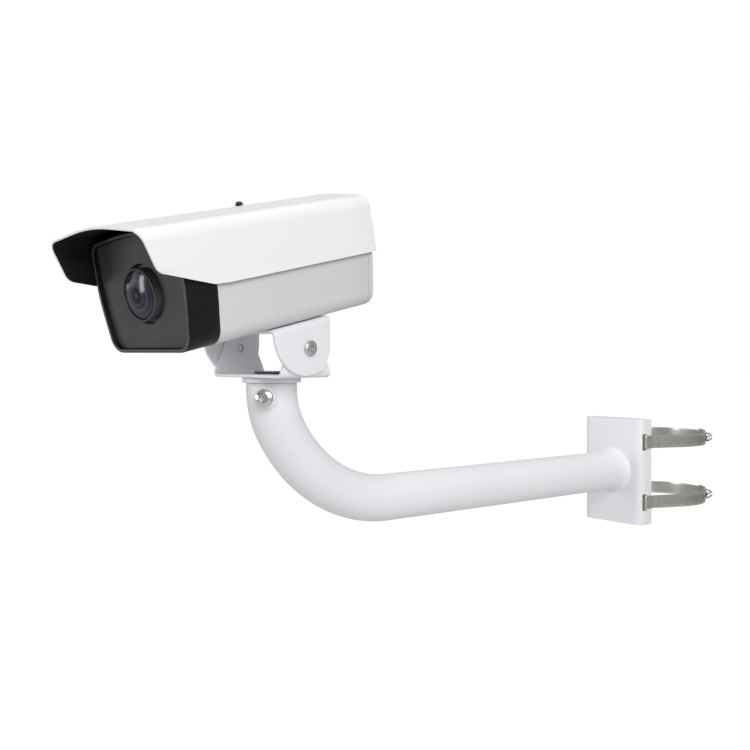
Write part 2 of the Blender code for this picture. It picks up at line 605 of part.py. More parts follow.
def build_housing(bracket_holes):
    outline = housing_section(0.0)
    shell = extrusion("body_shell", [outline, housing_section(HOUSING_WALL)], SHELL_REAR, SHELL_FRONT,
                      "grey_paint")
    cover = extrusion("rear_cover", [outline], -HOUSING_REAR, COVER_FRONT, "grey_paint")
    seal_rear = COVER_FRONT + GAP
    extrusion("rear_seal", [housing_section(0.0004), housing_section(HOUSING_WALL - 0.0004)],
              seal_rear, seal_rear + SEAL_SHEET, "rubber")
    boss_length = 0.014
    for name, (x, u) in cover_screw_places().items():
        boss = extrusion("boss_" + name, [circle(0.0042, (x, u), 14)], SHELL_REAR, SHELL_REAR + boss_length)
        cut(shell, boss, "UNION")
    for name, (x, u) in cover_screw_places().items():
        drill = cylinder("drill_" + name, 0.0015 + GAP, 0.030, (x, -SHELL_REAR, u), FORWARD, TILT, sides=12)
        cut(shell, drill)
        cut(cover, drill)
        backwards = (math.radians(-90), 0, 0)
        socket_screw("cover_screw_" + name, 0.0029, 0.0024, 0.0015, 0.013,
                     0.0022, (x, HOUSING_REAR + GAP, u), backwards, TILT, sides=12)
    gland_level = HOUSING_FLOOR + GLAND_RISE
    gland_place = (0, HOUSING_REAR, gland_level)
    cut(cover, cylinder("gland_hole", GLAND_RADIUS + GAP, 0.03, gland_place, FORWARD, TILT))
    for hole in bracket_holes:
        cut(shell, hole)

    bezel = extrusion("front_bezel", [outline], BEZEL_REAR, BEZEL_FRONT, "black_plastic")
    lip_inset = HOUSING_WALL + GAP
    cut(bezel, extrusion("bezel_lip", [housing_section(lip_inset)], BEZEL_REAR - BEZEL_LIP,
                         BEZEL_REAR + 0.004), "UNION")
    ledge = lip_inset + 0.0016
    cut(bezel, extrusion("bezel_bore", [housing_section(ledge)], BEZEL_REAR - 0.02, BEZEL_FRONT + 0.02))
    recess = WINDOW_BACK - SEAL_SHEET - 2 * GAP
    cut(bezel, extrusion("bezel_recess", [housing_section(BEZEL_RIM)], recess, BEZEL_FRONT + 0.01))

    window_inset = BEZEL_RIM + GAP
    extrusion("window_seal", [housing_section(window_inset), housing_section(ledge)], recess + GAP,
              recess + GAP + SEAL_SHEET, "rubber")
    window = extrusion("front_window", [housing_section(window_inset)], WINDOW_BACK, WINDOW_FACE,
                       "smoked_window")
    cut(window, cylinder("window_hole", LENS_RADIUS + GAP, 0.03, (0, -WINDOW_FACE, LENS_LEVEL), FORWARD, TILT,
                         sides=32))


# ---------------------------------------------------------------- sun shield
def shield_section():
    """The shield's arched sheet, with skirts that run down past the trim line."""
    outer_half = WAIST_HALF + SHIELD_SIDE_AIR + SHIELD_SHEET
    eaves_half = EAVES_HALF + SHIELD_SIDE_AIR + SHIELD_SHEET + 0.0006
    foot = HOUSING_FLOOR + SHIELD_SKIRT - 0.01
    eaves = HOUSING_FLOOR + EAVES_RISE + SHIELD_TOP_AIR + SHIELD_SHEET * 0.6
    crown = SHIELD_CROWN + SHIELD_SHEET
    sheet = SHIELD_SHEET
    fold = EAVES_RADIUS + 0.001
    outer = [(-outer_half, foot, 0), (-eaves_half, eaves, fold), (0, crown, CROWN_RADIUS),
             (eaves_half, eaves, fold), (outer_half, foot, 0)]
    inner = [(outer_half - sheet, foot, 0), (eaves_half - sheet, eaves - sheet, fold - sheet),
             (0, crown - sheet, CROWN_RADIUS - sheet),
             (-eaves_half + sheet, eaves - sheet, fold - sheet), (-outer_half + sheet, foot, 0)]
    return fillet(outer + inner)


def build_shield():
    skirt = HOUSING_FLOOR + SHIELD_SKIRT
    cheek = HOUSING_FLOOR + SHIELD_CHEEK_RISE
    high = SHIELD_CROWN + 0.02
    shield = extrusion("sun_shield", [shield_section()], -HOUSING_REAR - 0.004, SHIELD_FRONT + 0.004,
                       "shield_paint")
    side = fillet([(-HOUSING_REAR, skirt, 0), (SHIELD_TIP, skirt, 0.004), (SHIELD_CHEEK, cheek, 0.009),
                   (SHIELD_FRONT, SHIELD_CROWN - 0.006, 0.002), (SHIELD_FRONT, high, 0),
                   (-HOUSING_REAR, high, 0)])
    cut(shield, prism("shield_trim", [side], WAIST_HALF * 3, (0, 0, 0), SIDEWAYS, TILT), "INTERSECT")
    slot_side = SHIELD_SCREW_RADIUS + RUN / 2
    slot_half = SHIELD_TRAVEL + slot_side
    slot = rectangle(-slot_side, slot_side, -slot_half, slot_half)
    cut(shield, prism("shield_slot", [slot], 0.02, (0, -SHIELD_SCREW_AT, SHIELD_CROWN), (0, 0, 0), TILT))

    crown_sag = CROWN_RADIUS * (1 / math.cos(math.atan2(CROWN_RISE - EAVES_RISE, EAVES_HALF)) - 1)
    roof = HOUSING_FLOOR + CROWN_RISE - crown_sag
    rail_top = SHIELD_CROWN - crown_sag - 2 * GAP
    rail = extrusion("shield_rail", [rectangle(-RAIL_HALF, RAIL_HALF, roof + GAP, rail_top)],
                     SHIELD_SCREW_AT - RAIL_REACH, SHIELD_SCREW_AT + RAIL_REACH, "black_plastic")
    screw_top = SHIELD_CROWN + SHIELD_SHEET - crown_sag + GAP
    hole = SHIELD_SCREW_RADIUS + GAP
    head_seat = screw_top + SHIELD_WASHER_SHEET + GAP
    shank = head_seat - roof - 2 * GAP
    cut(rail, cylinder("rail_hole", hole, 0.02, (0, -SHIELD_SCREW_AT, rail_top), (0, 0, 0), TILT))
    turned("shield_washer", [(hole, SHIELD_WASHER_SHEET), (SHIELD_WASHER_RADIUS, SHIELD_WASHER_SHEET),
                             (SHIELD_WASHER_RADIUS, 0), (hole, 0)],
           (0, -SHIELD_SCREW_AT, screw_top), (0, 0, 0), TILT, "black_anodised", 16)
    socket_screw("shield_screw", SHIELD_HEAD_RADIUS, SHIELD_HEAD_HEIGHT, SHIELD_SCREW_RADIUS, shank, 0.0020,
                 (0, -SHIELD_SCREW_AT, head_seat), (0, 0, 0), TILT, "black_anodised")


# ---------------------------------------------------------------- lens and sensor
def build_optics():
    axis = LENS_LEVEL
    seat = GLASS_RADIUS + GAP
    sleeve = BARREL_RADIUS + GAP
    face = WINDOW_FACE
    glass_edge = LENS_NOSE - 0.0014
    glass_back = glass_edge - 0.0062
    ledge = glass_back - GAP
    ring = [(seat, LENS_NOSE - 0.0010), (NOSE_RADIUS - 0.0006, LENS_NOSE), (NOSE_RADIUS, LENS_NOSE - 0.0006),
            (NOSE_RADIUS, -LENS_STEP_DEPTH), (LENS_RADIUS, -LENS_STEP_DEPTH), (LENS_RADIUS, -LENS_BORE_REAR),
            (sleeve, -LENS_BORE_REAR), (sleeve, ledge), (seat, ledge)]
    turned("lens_ring", ring, (0, -face, axis), FORWARD, TILT, "black_anodised", 36)
    dome = []
    steps = 6
    sphere = (GLASS_RADIUS ** 2 + GLASS_BULGE ** 2) / (2 * GLASS_BULGE)
    sweep = math.asin(GLASS_RADIUS / sphere)
    for step in range(steps + 1):
        angle = sweep * step / steps
        dome.append((sphere * math.sin(angle), glass_edge + GLASS_BULGE - sphere * (1 - math.cos(angle))))
    glass = dome + [(GLASS_RADIUS, glass_back), (0, glass_back)]
    turned("lens_front_glass", glass, (0, -face, axis), FORWARD, TILT, "coated_glass", 32)

    barrel_front = face + glass_back - GAP
    barrel_rear = 0.062
    bore = BARREL_RADIUS - 0.002
    length = barrel_front - barrel_rear
    turned("lens_barrel", [(bore, length), (BARREL_RADIUS, length), (BARREL_RADIUS, 0), (bore, 0)],
           (0, -barrel_rear, axis), FORWARD, TILT, "black_anodised", 20)
    rear_glass = bore - GAP
    turned("lens_rear_glass", [(0, 0.0045), (rear_glass * 0.6, 0.0040), (rear_glass, 0.0025), (rear_glass, 0),
                               (0, 0)],
           (0, -barrel_rear - 0.002, axis), FORWARD, TILT, "coated_glass", 16)

    holder_front = barrel_rear + 0.010
    holder_rear = barrel_rear - 0.004
    foot = TRAY_TOP + GAP
    block = rectangle(-0.019, 0.019, foot, axis + 0.019)
    holder = extrusion("lens_holder", [block, circle(BARREL_RADIUS - 0.003, (0, axis), 20)],
                       holder_rear, holder_front, "black_plastic")
    cut(holder, cylinder("barrel_seat", BARREL_RADIUS + GAP, 0.030, (0, -barrel_rear - 0.015 + GAP, axis),
                         FORWARD, TILT, sides=20))

    guide_front = holder_rear - GAP
    guide_rear = guide_front - 0.004
    filter_end = FILTER_HALF + FILTER_TRAVEL
    track_half = FILTER_HALF_HEIGHT + GAP
    track = rectangle(-FILTER_HALF - RUN, filter_end + RUN, axis - track_half, axis + track_half)
    guide = rectangle(-0.014, filter_end + 0.006, axis - 0.014, axis + 0.014)
    extrusion("ir_cut_guide", [guide, track], guide_rear, guide_front, "black_plastic")
    pane = rectangle(-FILTER_HALF, FILTER_HALF, axis - FILTER_HALF_HEIGHT, axis + FILTER_HALF_HEIGHT)
    extrusion("ir_cut_filter", [pane], guide_rear + 0.0012, guide_rear + 0.0028, "coated_glass")
    board_front = guide_rear - 0.0022
    extrusion("image_sensor", [rectangle(-0.0065, 0.0065, axis - 0.0050, axis + 0.0050)],
              board_front + GAP, board_front + 0.0018, "silicon")
    extrusion("sensor_board", [rectangle(-0.018, 0.018, axis - 0.018, axis + 0.018)],
              board_front - BOARD_SHEET, board_front, "board")
    return board_front - BOARD_SHEET


# ---------------------------------------------------------------- boards and tray
def build_electronics(free_front, bracket_holes):
    ledge = HOUSING_WALL + 2 * GAP + 0.0020
    led_front = WINDOW_BACK - 0.0045
    extrusion("ir_led_board", [housing_section(ledge), circle(LENS_RADIUS + 0.001, (0, LENS_LEVEL), 24)],
              led_front - BOARD_SHEET, led_front, "board")
    reach = (WAIST_HALF + LENS_RADIUS) / 2 - 0.001
    for name, x, u in (("near_low", reach, -0.014), ("near_high", reach, 0.014),
                       ("far_low", -reach, -0.014), ("far_high", -reach, 0.014)):
        lens = [(0, 0.0034), (0.0022, 0.0026), (0.0030, 0.0010), (0.0030, 0), (0, 0)]
        turned("ir_led_" + name, lens, (x, -led_front - GAP, LENS_LEVEL + u), FORWARD, TILT, "led", 12)

    tray_rear = SHELL_REAR + 0.018
    tray_front = BEZEL_REAR - BEZEL_LIP - 0.002
    tray_floor = HOUSING_FLOOR + HOUSING_WALL + GAP
    half = BASE_HALF - BASE_RADIUS
    tray = prism("chassis_tray", [rectangle(-half, half, -tray_front, -tray_rear)], TRAY_TOP - tray_floor,
                 (0, 0, (TRAY_TOP + tray_floor) / 2), (0, 0, 0), TILT, "aluminium")
    for hole in bracket_holes:
        cut(tray, hole)
    post = 0.008
    post_base = TRAY_TOP + GAP
    board_front = free_front - 0.004
    board_rear = tray_rear + 0.002
    for name, x, t in (("near_front", half - 0.004, board_front - 0.005),
                       ("far_front", -half + 0.004, board_front - 0.005),
                       ("near_rear", half - 0.004, board_rear + 0.005),
                       ("far_rear", -half + 0.004, board_rear + 0.005)):
        cylinder("board_post_" + name, 0.0026, post, (x, -t, post_base + post / 2), (0, 0, 0), TILT,
                 "aluminium", 12)
    board_base = post_base + post + GAP
    prism("main_board", [rectangle(-half, half, -board_front, -board_rear)], BOARD_SHEET,
          (0, 0, board_base + BOARD_SHEET / 2), (0, 0, 0), TILT, "board")
    sink_base = board_base + BOARD_SHEET + GAP
    sink_half = 0.015
    comb = [(-sink_half, sink_base), (sink_half, sink_base)]
    fins = 5
    pitch = 2 * sink_half / (2 * fins - 1)
    for fin in range(fins):
        right = sink_half - 2 * fin * pitch
        comb += [(right, sink_base + 0.012), (right - pitch, sink_base + 0.012)]
        if fin < fins - 1:
            comb += [(right - pitch, sink_base + 0.003), (right - 2 * pitch, sink_base + 0.003)]
    middle = (board_front + board_rear) / 2
    extrusion("heat_sink", [comb], middle - sink_half, middle + sink_half, "aluminium")


# ---------------------------------------------------------------- cable gland
def build_gland():
    level = HOUSING_FLOOR + GLAND_RISE
    backwards = (math.radians(-90), 0, 0)
    place = (0, HOUSING_REAR + GAP, level)
    bore = 0.0042
    flange = GLAND_RADIUS + 0.0035
    thread = GLAND_RADIUS - 0.0008
    nut_sheet = 0.003
    inner_end = -COVER_SHEET - 3 * GAP - nut_sheet
    body = [(bore, 0.009), (thread, 0.009), (thread, 0.004), (flange, 0.004), (flange, 0),
            (GLAND_RADIUS, 0), (GLAND_RADIUS, inner_end), (bore, inner_end)]
    turned("gland_body", body, place, backwards, TILT, "black_plastic", 20)
    cap_inner = thread + GAP
    cap = [(bore, 0.0165), (bore + 0.003, 0.0165), (flange - 0.0005, 0.012), (flange - 0.0005, 0.004 + GAP),
           (cap_inner, 0.004 + GAP), (cap_inner, 0.0125), (bore, 0.0125)]
    turned("gland_cap", cap, place, backwards, TILT, "black_plastic", 20)
    seal = [(bore - 0.001, 0.0122), (thread - 0.001, 0.0122), (thread - 0.001, 0.009 + GAP),
            (bore - 0.001, 0.009 + GAP)]
    turned("gland_seal", seal, place, backwards, TILT, "rubber", 16)
    nut_hole = circle(GLAND_RADIUS + GAP, (0, level), 20)
    corner = 0.022 / math.sqrt(3)
    nut_rear = COVER_FRONT + GAP
    extrusion("gland_nut", [circle(corner, (0, level), 6), nut_hole], nut_rear, nut_rear + nut_sheet,
              "black_plastic")


build_mount()
for strap_name, strap_level in STRAP_LEVELS.items():
    build_strap(strap_name, strap_level)
build_arm()
build_pan()
holes = list(build_bracket())
build_housing(holes)
build_shield()
build_electronics(build_optics(), holes)
build_gland()
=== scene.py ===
import json
import math

import bmesh
import bpy
import numpy as np
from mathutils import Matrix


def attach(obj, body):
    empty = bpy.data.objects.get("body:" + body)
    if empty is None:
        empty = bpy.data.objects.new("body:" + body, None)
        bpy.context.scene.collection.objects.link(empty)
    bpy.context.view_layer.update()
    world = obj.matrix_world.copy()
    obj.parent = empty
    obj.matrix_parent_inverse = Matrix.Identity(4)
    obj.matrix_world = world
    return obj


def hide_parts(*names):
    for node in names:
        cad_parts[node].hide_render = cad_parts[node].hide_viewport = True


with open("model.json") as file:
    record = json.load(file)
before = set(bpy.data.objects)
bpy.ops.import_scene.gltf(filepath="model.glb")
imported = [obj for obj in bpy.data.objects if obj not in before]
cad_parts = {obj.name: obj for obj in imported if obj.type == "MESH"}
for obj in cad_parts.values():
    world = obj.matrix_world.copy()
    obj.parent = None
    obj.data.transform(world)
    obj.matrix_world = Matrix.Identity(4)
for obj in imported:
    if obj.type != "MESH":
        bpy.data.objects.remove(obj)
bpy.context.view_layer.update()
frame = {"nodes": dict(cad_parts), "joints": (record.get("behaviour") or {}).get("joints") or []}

print("frame loaded:", len(frame["nodes"]), "nodes")

# a camera on a pole arm: the CAD frame fixes every place, the pieces below are its visible surfaces
# housing coordinates are (across, forwards, up) from the tilt axis, pan coordinates the same without the tilt
joints = {joint["name"]: joint for joint in frame["joints"]}
acrossAxis = np.array(joints["tilt"]["axis"])
acrossAxis = acrossAxis / np.linalg.norm(acrossAxis)
forwardAxis = np.array(joints["shield_slide"]["axis"])
forwardAxis = forwardAxis / np.linalg.norm(forwardAxis)
upAxis = np.cross(forwardAxis, acrossAxis)
worldUp = np.array([0.0, 0.0, 1.0])
tiltCentre = np.array(joints["tilt"]["pos_m"])
panCentre = np.array([tiltCentre[0], tiltCentre[1], 0.0])
headAxes = np.array([acrossAxis, forwardAxis, upAxis])
panAxes = np.array([acrossAxis, np.cross(worldUp, acrossAxis) * -1.0, worldUp])
rootAxes = np.array([[1.0, 0.0, 0.0], [0.0, -1.0, 0.0], [0.0, 0.0, 1.0]])


def inHead(points):  # tilt centre + across x + forwards t + up u
    return tiltCentre + points @ headAxes


def inPan(points):  # the same without the tilt, heights from the arm's axis
    return panCentre + points @ panAxes


def inRoot(points):  # forwards is away from the pole
    return points @ rootAxes


# outlines and surfaces

def roundedOutline(corners, closed=True, arcStep=7.5, spacing=0.004):
    # straight runs joined by tangent arcs: centre + radius (cos a, sin a)
    # the corners are (x, y, radius); a list run anticlockwise gets outward normals
    corners = np.array(corners, float)
    count = len(corners)
    points, normals = [], []
    for k in range(count):
        here, radius = corners[k, :2], corners[k, 2]
        if not closed and k in (0, count - 1):
            along = corners[1, :2] - here if k == 0 else here - corners[k - 1, :2]
            along = along / np.linalg.norm(along)
            points.append(here[None])
            normals.append(np.array([[along[1], -along[0]]]))
            continue
        back = corners[k - 1, :2] - here
        ahead = corners[(k + 1) % count, :2] - here
        back = back / np.linalg.norm(back)
        ahead = ahead / np.linalg.norm(ahead)
        turn = math.pi - math.acos(float(np.clip(back @ ahead, -1.0, 1.0)))
        side = 1.0 if -back[0] * ahead[1] + back[1] * ahead[0] > 0 else -1.0
        radius = max(radius, 1e-5)
        heading = math.atan2(-back[1], -back[0])
        start = here + back * radius * math.tan(turn / 2)
        centre = start + side * radius * np.array([-math.sin(heading), math.cos(heading)])
        steps = max(1, math.ceil(math.degrees(turn) / arcStep))
        angles = heading - side * math.pi / 2 + side * turn * np.linspace(0, 1, steps + 1)
        radial = np.stack([np.cos(angles), np.sin(angles)], 1)
        points.append(centre + radius * radial)
        normals.append(side * radial)
    points, normals = np.concatenate(points), np.concatenate(normals)
    if closed:
        points = np.concatenate([points, points[:1]])
        normals = np.concatenate([normals, normals[:1]])
    reach = np.concatenate([[0], np.cumsum(np.linalg.norm(np.diff(points, axis=0), axis=1))])
    extra = [np.linspace(a, b, math.ceil((b - a) / spacing), endpoint=False)[1:]
             for a, b in zip(reach[:-1], reach[1:]) if b - a > spacing]
    wanted = np.unique(np.concatenate([reach, *extra]))
    wanted = wanted[np.concatenate([[True], np.diff(wanted) > 1e-7])]
    if closed:
        wanted = wanted[:-1]
    points = np.stack([np.interp(wanted, reach, points[:, k]) for k in (0, 1)], 1)
    normals = np.stack([np.interp(wanted, reach, normals[:, k]) for k in (0, 1)], 1)
    return points, normals / np.linalg.norm(normals, axis=1)[:, None]


def gridMesh(name, grid, wrapRows=False, wrapCols=True, capRows=False, capCols=False, stretch=None):
    # quads between grid[i, j] and its neighbours, wrapped where asked, flat caps on open ends
    # stretch gives (metres along rows, metres along columns) for a UV map that follows the surface
    rows, cols = grid.shape[:2]
    i = np.arange(rows if wrapRows else rows - 1)[:, None]
    j = np.arange(cols if wrapCols else cols - 1)[None, :]
    nextI, nextJ = (i + 1) % rows, (j + 1) % cols
    quads = np.stack([i * cols + j, i * cols + nextJ, nextI * cols + nextJ, nextI * cols + j], -1)
    faces = quads.reshape(-1, 4).tolist()
    if capRows:
        faces += [list(range(cols))[::-1], list(range((rows - 1) * cols, rows * cols))]
    if capCols:
        faces += [list(range(0, rows * cols, cols)), list(range(cols - 1, rows * cols, cols))[::-1]]
    mesh = bpy.data.meshes.new(name)
    mesh.from_pydata(grid.reshape(-1, 3).tolist(), [], faces)
    if stretch is not None:
        uvs = np.zeros((len(mesh.loops), 2))
        iu, ju = i + 0 * j, j + 0 * i
        corners = np.stack([np.stack([iu, ju], -1), np.stack([iu, ju + 1], -1),
                            np.stack([iu + 1, ju + 1], -1), np.stack([iu + 1, ju], -1)], 2)
        uvs[:quads.size] = corners.reshape(-1, 2) * np.array(stretch)
        mesh.uv_layers.new(name="surface").data.foreach_set("uv", uvs.ravel())
    return cleanMesh(mesh)


def cleanMesh(mesh):  # merges poles and seams, turns the faces outwards
    work = bmesh.new()
    work.from_mesh(mesh)
    bmesh.ops.remove_doubles(work, verts=work.verts, dist=2e-6)
    bmesh.ops.dissolve_degenerate(work, edges=work.edges, dist=1e-6)
    bmesh.ops.recalc_face_normals(work, faces=work.faces)
    work.to_mesh(mesh)
    work.free()
    return mesh


def joined(name, meshes):  # several closed shells in one mesh, each with its own place
    work = bmesh.new()
    for mesh in meshes:
        work.from_mesh(mesh)
    made = bpy.data.meshes.new(name)
    work.to_mesh(made)
    work.free()
    return made


def spread(count):  # that many angles round a full turn
    return np.linspace(0, 2 * math.pi, count, endpoint=False)


def circle(radius, count=48, centre=(0.0, 0.0)):  # centre + radius (cos a, sin a)
    angles = spread(count)
    return radius * np.stack([np.cos(angles), np.sin(angles)], 1) + centre


def turnedGrid(profile, sides, wobble=None):
    # radius r and height z turned round the height axis: (r cos a, r sin a, z)
    # wobble(angle, row) scales the radius, for sockets, threads and knurls
    profile = np.array(profile, float)
    angles = spread(sides)
    radius = profile[:, :1] + 0 * angles[None]
    if wobble is not None:
        radius = radius * wobble(angles[None], np.arange(len(profile))[:, None])
    height = profile[:, 1:2] + 0 * angles[None]
    return np.stack([radius * np.cos(angles), radius * np.sin(angles), height], -1)


def hexScale(angles):  # distance to a hexagon's side over its inner radius: 1 / cos(angle from the flat)
    return 1.0 / np.cos((angles + math.pi / 6) % (math.pi / 3) - math.pi / 6)


def aimed(grid, origin, axis, spin=0.0):  # local z becomes axis, starting at origin
    axis = np.array(axis, float) / np.linalg.norm(axis)
    helper = worldUp if abs(axis[2]) < 0.9 else np.array([1.0, 0.0, 0.0])
    first = np.cross(helper, axis)
    first = first / np.linalg.norm(first)
    second = np.cross(axis, first)
    x = math.cos(spin) * first + math.sin(spin) * second
    y = -math.sin(spin) * first + math.cos(spin) * second
    return np.array(origin) + grid @ np.array([x, y, axis])


def turned(name, profile, sides, origin, axis, wobble=None, wrap=True):  # ring-shaped piece about an axis
    return gridMesh(name, aimed(turnedGrid(profile, sides, wobble), origin, axis), wrapRows=wrap)


def roundedProfile(corners):  # open profile of (radius, height, rounding), poles kept on the axis
    return roundedOutline(corners, closed=False, arcStep=22.5, spacing=1.0)[0]


def placeMesh(mesh, body, finishes, replaced=(), smooth=35.0, bevel=0.0):
    # one piece: object at the origin, finishes by slot, riding on its body
    piece = bpy.data.objects.new(mesh.name, mesh)
    bpy.context.scene.collection.objects.link(piece)
    for finish in finishes if isinstance(finishes, (list, tuple)) else [finishes]:
        mesh.materials.append(finish)
    mesh.shade_smooth()
    mesh.set_sharp_from_angle(angle=math.radians(smooth))
    if bevel:
        edge = piece.modifiers.new("edges", "BEVEL")
        edge.width = bevel
        edge.segments = 2
        edge.limit_method = "ANGLE"
        edge.angle_limit = math.radians(40)
        edge.harden_normals = True
    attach(piece, body)
    if replaced:
        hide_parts(*replaced)
    return piece


def cutAway(mesh, cutters):  # exact boolean difference, returned as a plain mesh
    target = bpy.data.objects.new(mesh.name + "Blank", mesh)
    bpy.context.scene.collection.objects.link(target)
    tools = []
    for number, cutter in enumerate(cutters):
        tool = bpy.data.objects.new("cutter" + str(number), cutter)
        bpy.context.scene.collection.objects.link(tool)
        tools.append(tool)
        cut = target.modifiers.new("cut", "BOOLEAN")
        cut.operation = "DIFFERENCE"
        cut.solver = "EXACT"
        cut.object = tool
    bpy.context.view_layer.update()
    result = bpy.data.meshes.new_from_object(target.evaluated_get(bpy.context.evaluated_depsgraph_get()))
    result.name = mesh.name
    for spare in [target, *tools]:
        bpy.data.objects.remove(spare, do_unlink=True)
    work = bmesh.new()
    work.from_mesh(result)
    bmesh.ops.remove_doubles(work, verts=work.verts, dist=1e-6)
    work.to_mesh(result)
    work.free()
    return result


def oblong(left, right, low, high, rounding=0.0, **how):  # rounded rectangle, anticlockwise
    return roundedOutline([(left, low, rounding), (right, low, rounding), (right, high, rounding),
                           (left, high, rounding)], **how)


def polygonRows(mesh, what):  # "center" or "normal" of every face, one row each
    values = np.zeros(len(mesh.polygons) * 3)
    mesh.polygons.foreach_get(what, values)
    return values.reshape(-1, 3)


def blockMesh(name, outline, low, high, place):  # flat outline carried from low to high
    outline = np.array(outline, float)
    rows = [np.concatenate([outline, np.full((len(outline), 1), level)], 1) for level in (low, high)]
    return gridMesh(name, place(np.stack(rows)), capRows=True)


def insetRings(points, normals, insets, stations):
    # the outline moved inwards by each inset, at each station: rows of (across, station, height)
    rings = points[None] - normals[None] * np.array(insets)[:, None, None]
    stations = np.array(stations)[:, None] + 0 * rings[..., 0]
    return np.stack([rings[..., 0], stations, rings[..., 1]], -1)


# housing and lens sizes, which the lens finish needs too
# (half width, height, rounding) for each corner of the section, heights from its floor
housingLook = {"floor": 0.0195, "base": (0.0430, 0.0, 0.0125), "waist": (0.0500, 0.0390, 0.120),
               "eaves": (0.0492, 0.0760, 0.009), "crown": (0.0, 0.0825, 0.150), "wall": 0.0025,
               "rear": 0.073, "front": 0.106, "collar": 0.026, "cover": 0.004, "seal": 0.0012,
               "rim": 0.0024, "recess": 0.0035, "window": 0.0040}
lensLook = {"rise": 0.0395, "radius": 0.0200, "nose": 0.0178, "reach": 0.0052, "step": 0.0036,
            "glass": 0.0164, "barrel": 0.0135, "bulge": 0.0030, "edge": 0.0038, "back": -0.0024,
            "second": 0.0098, "rear": -0.010}


# finishes

class Signal:  # one socket of a finish; arithmetic on it adds Math nodes
    def __init__(self, finish, socket):
        self.finish = finish
        self.socket = socket

    def math(self, operation, first, second):
        return self.finish.node("ShaderNodeMath", {"operation": operation}, {0: first, 1: second})

    def __add__(self, other):
        return self.math("ADD", self, other)

    def __radd__(self, other):
        return self.math("ADD", other, self)

    def __sub__(self, other):
        return self.math("SUBTRACT", self, other)

    def __rsub__(self, other):
        return self.math("SUBTRACT", other, self)

    def __mul__(self, other):
        return self.math("MULTIPLY", self, other)

    def __rmul__(self, other):
        return self.math("MULTIPLY", other, self)

    def __truediv__(self, other):
        return self.math("DIVIDE", self, other)


class Finish:  # a material with its node tree
    def __init__(self, name):
        self.material = bpy.data.materials.new(name)
        self.material.use_nodes = True
        self.tree = self.material.node_tree
        self.shader = self.tree.nodes["Principled BSDF"]

    def node(self, kind, settings=None, inputs=None, output=0):
        made = self.tree.nodes.new(kind)
        for key, value in (settings or {}).items():
            if key == "stops":
                for stop, (position, colour) in zip(rampStops(made, len(value)), value):
                    stop.position = position
                    stop.color = colour
            else:
                setattr(made, key, value)
        for key, value in (inputs or {}).items():
            if isinstance(value, Signal):
                self.tree.links.new(value.socket, made.inputs[key])
            else:
                made.inputs[key].default_value = value
        return Signal(self, made.outputs[output])

    def coordinates(self, scale=(1.0, 1.0, 1.0), surface=False):
        if surface:
            source = self.node("ShaderNodeUVMap", {"uv_map": "surface"})
        else:
            source = self.node("ShaderNodeTexCoord", output="Object")
        return self.node("ShaderNodeMapping", {}, {"Vector": source, "Scale": scale})

    def noise(self, scale, detail=2.0, roughness=0.5, stretch=(1.0, 1.0, 1.0), surface=False):
        inputs = {"Vector": self.coordinates(stretch, surface), "Scale": scale, "Detail": detail,
                  "Roughness": roughness}
        return self.node("ShaderNodeTexNoise", {}, inputs)

    def cells(self, scale, feature="F1", output="Distance"):
        return self.node("ShaderNodeTexVoronoi", {"feature": feature},
                         {"Vector": self.coordinates(), "Scale": scale}, output)

    def ramp(self, factor, low, high):  # 0 below low, 1 above high
        return self.node("ShaderNodeMapRange", {}, {"Value": factor, "From Min": low, "From Max": high})

    def blend(self, factor, first, second):
        return self.node("ShaderNodeMix", {"data_type": "RGBA"}, {0: factor, 6: first, 7: second}, 2)

    def bump(self, height, distance, strength=1.0):
        return self.node("ShaderNodeBump", {}, {"Height": height, "Distance": distance, "Strength": strength})

    def drive(self, **inputs):
        for key, value in inputs.items():
            socket = self.shader.inputs[key.replace("_", " ")]
            if isinstance(value, Signal):
                self.tree.links.new(value.socket, socket)
            else:
                socket.default_value = value
        return self.material


def rampStops(node, count):
    stops = node.color_ramp.elements
    while len(stops) < count:
        stops.new(0.5)
    return stops


def rgb(*values):
    return (*values, 1.0)
paintLook = {
    "cloud": 9.0,          # broad variation, per metre
    "speckle": 420.0,      # fine variation
    "peel": 950.0,         # orange peel
    "peelHeight": 0.00004,
}


def paint(name, colour, shade, roughness, peel=1.0, coat=0.0, dust=0.25, shine=0.5):
    # colour drifts to shade in clouds and specks; roughness follows the clouds; the skin has orange peel
    finish = Finish(name)
    cloud = finish.noise(paintLook["cloud"], 4.0, 0.6)
    speckle = finish.noise(paintLook["speckle"], 2.0)
    skin = finish.noise(paintLook["peel"], 2.0, 0.45)
    drift = finish.ramp(cloud, 0.42, 0.72) * dust + finish.ramp(speckle, 0.60, 0.80) * (dust * 0.35)
    return finish.drive(Base_Color=finish.blend(drift, colour, shade),
                        Roughness=roughness + finish.ramp(cloud, 0.35, 0.75) * 0.07 + speckle * 0.03,
                        Normal=finish.bump(skin, paintLook["peelHeight"] * peel),
                        Specular_IOR_Level=shine, Coat_Weight=coat, Coat_Roughness=0.12)


def blackPlastic(name, colour, roughness, shine=0.5, grain=1400.0, height=0.00003):
    # a fine spark-eroded grain, rubbed a little smoother in patches
    finish = Finish(name)
    rub = finish.noise(24.0, 3.0)
    texture = finish.cells(grain)
    tone = finish.noise(130.0, 4.0)
    pale = rgb(*(c * 1.9 + 0.002 for c in colour[:3]))
    return finish.drive(Base_Color=finish.blend(finish.ramp(tone, 0.4, 0.75) * 0.5, colour, pale),
                        Roughness=roughness + finish.ramp(rub, 0.4, 0.7) * -0.10, Specular_IOR_Level=shine,
                        Normal=finish.bump(texture, height))


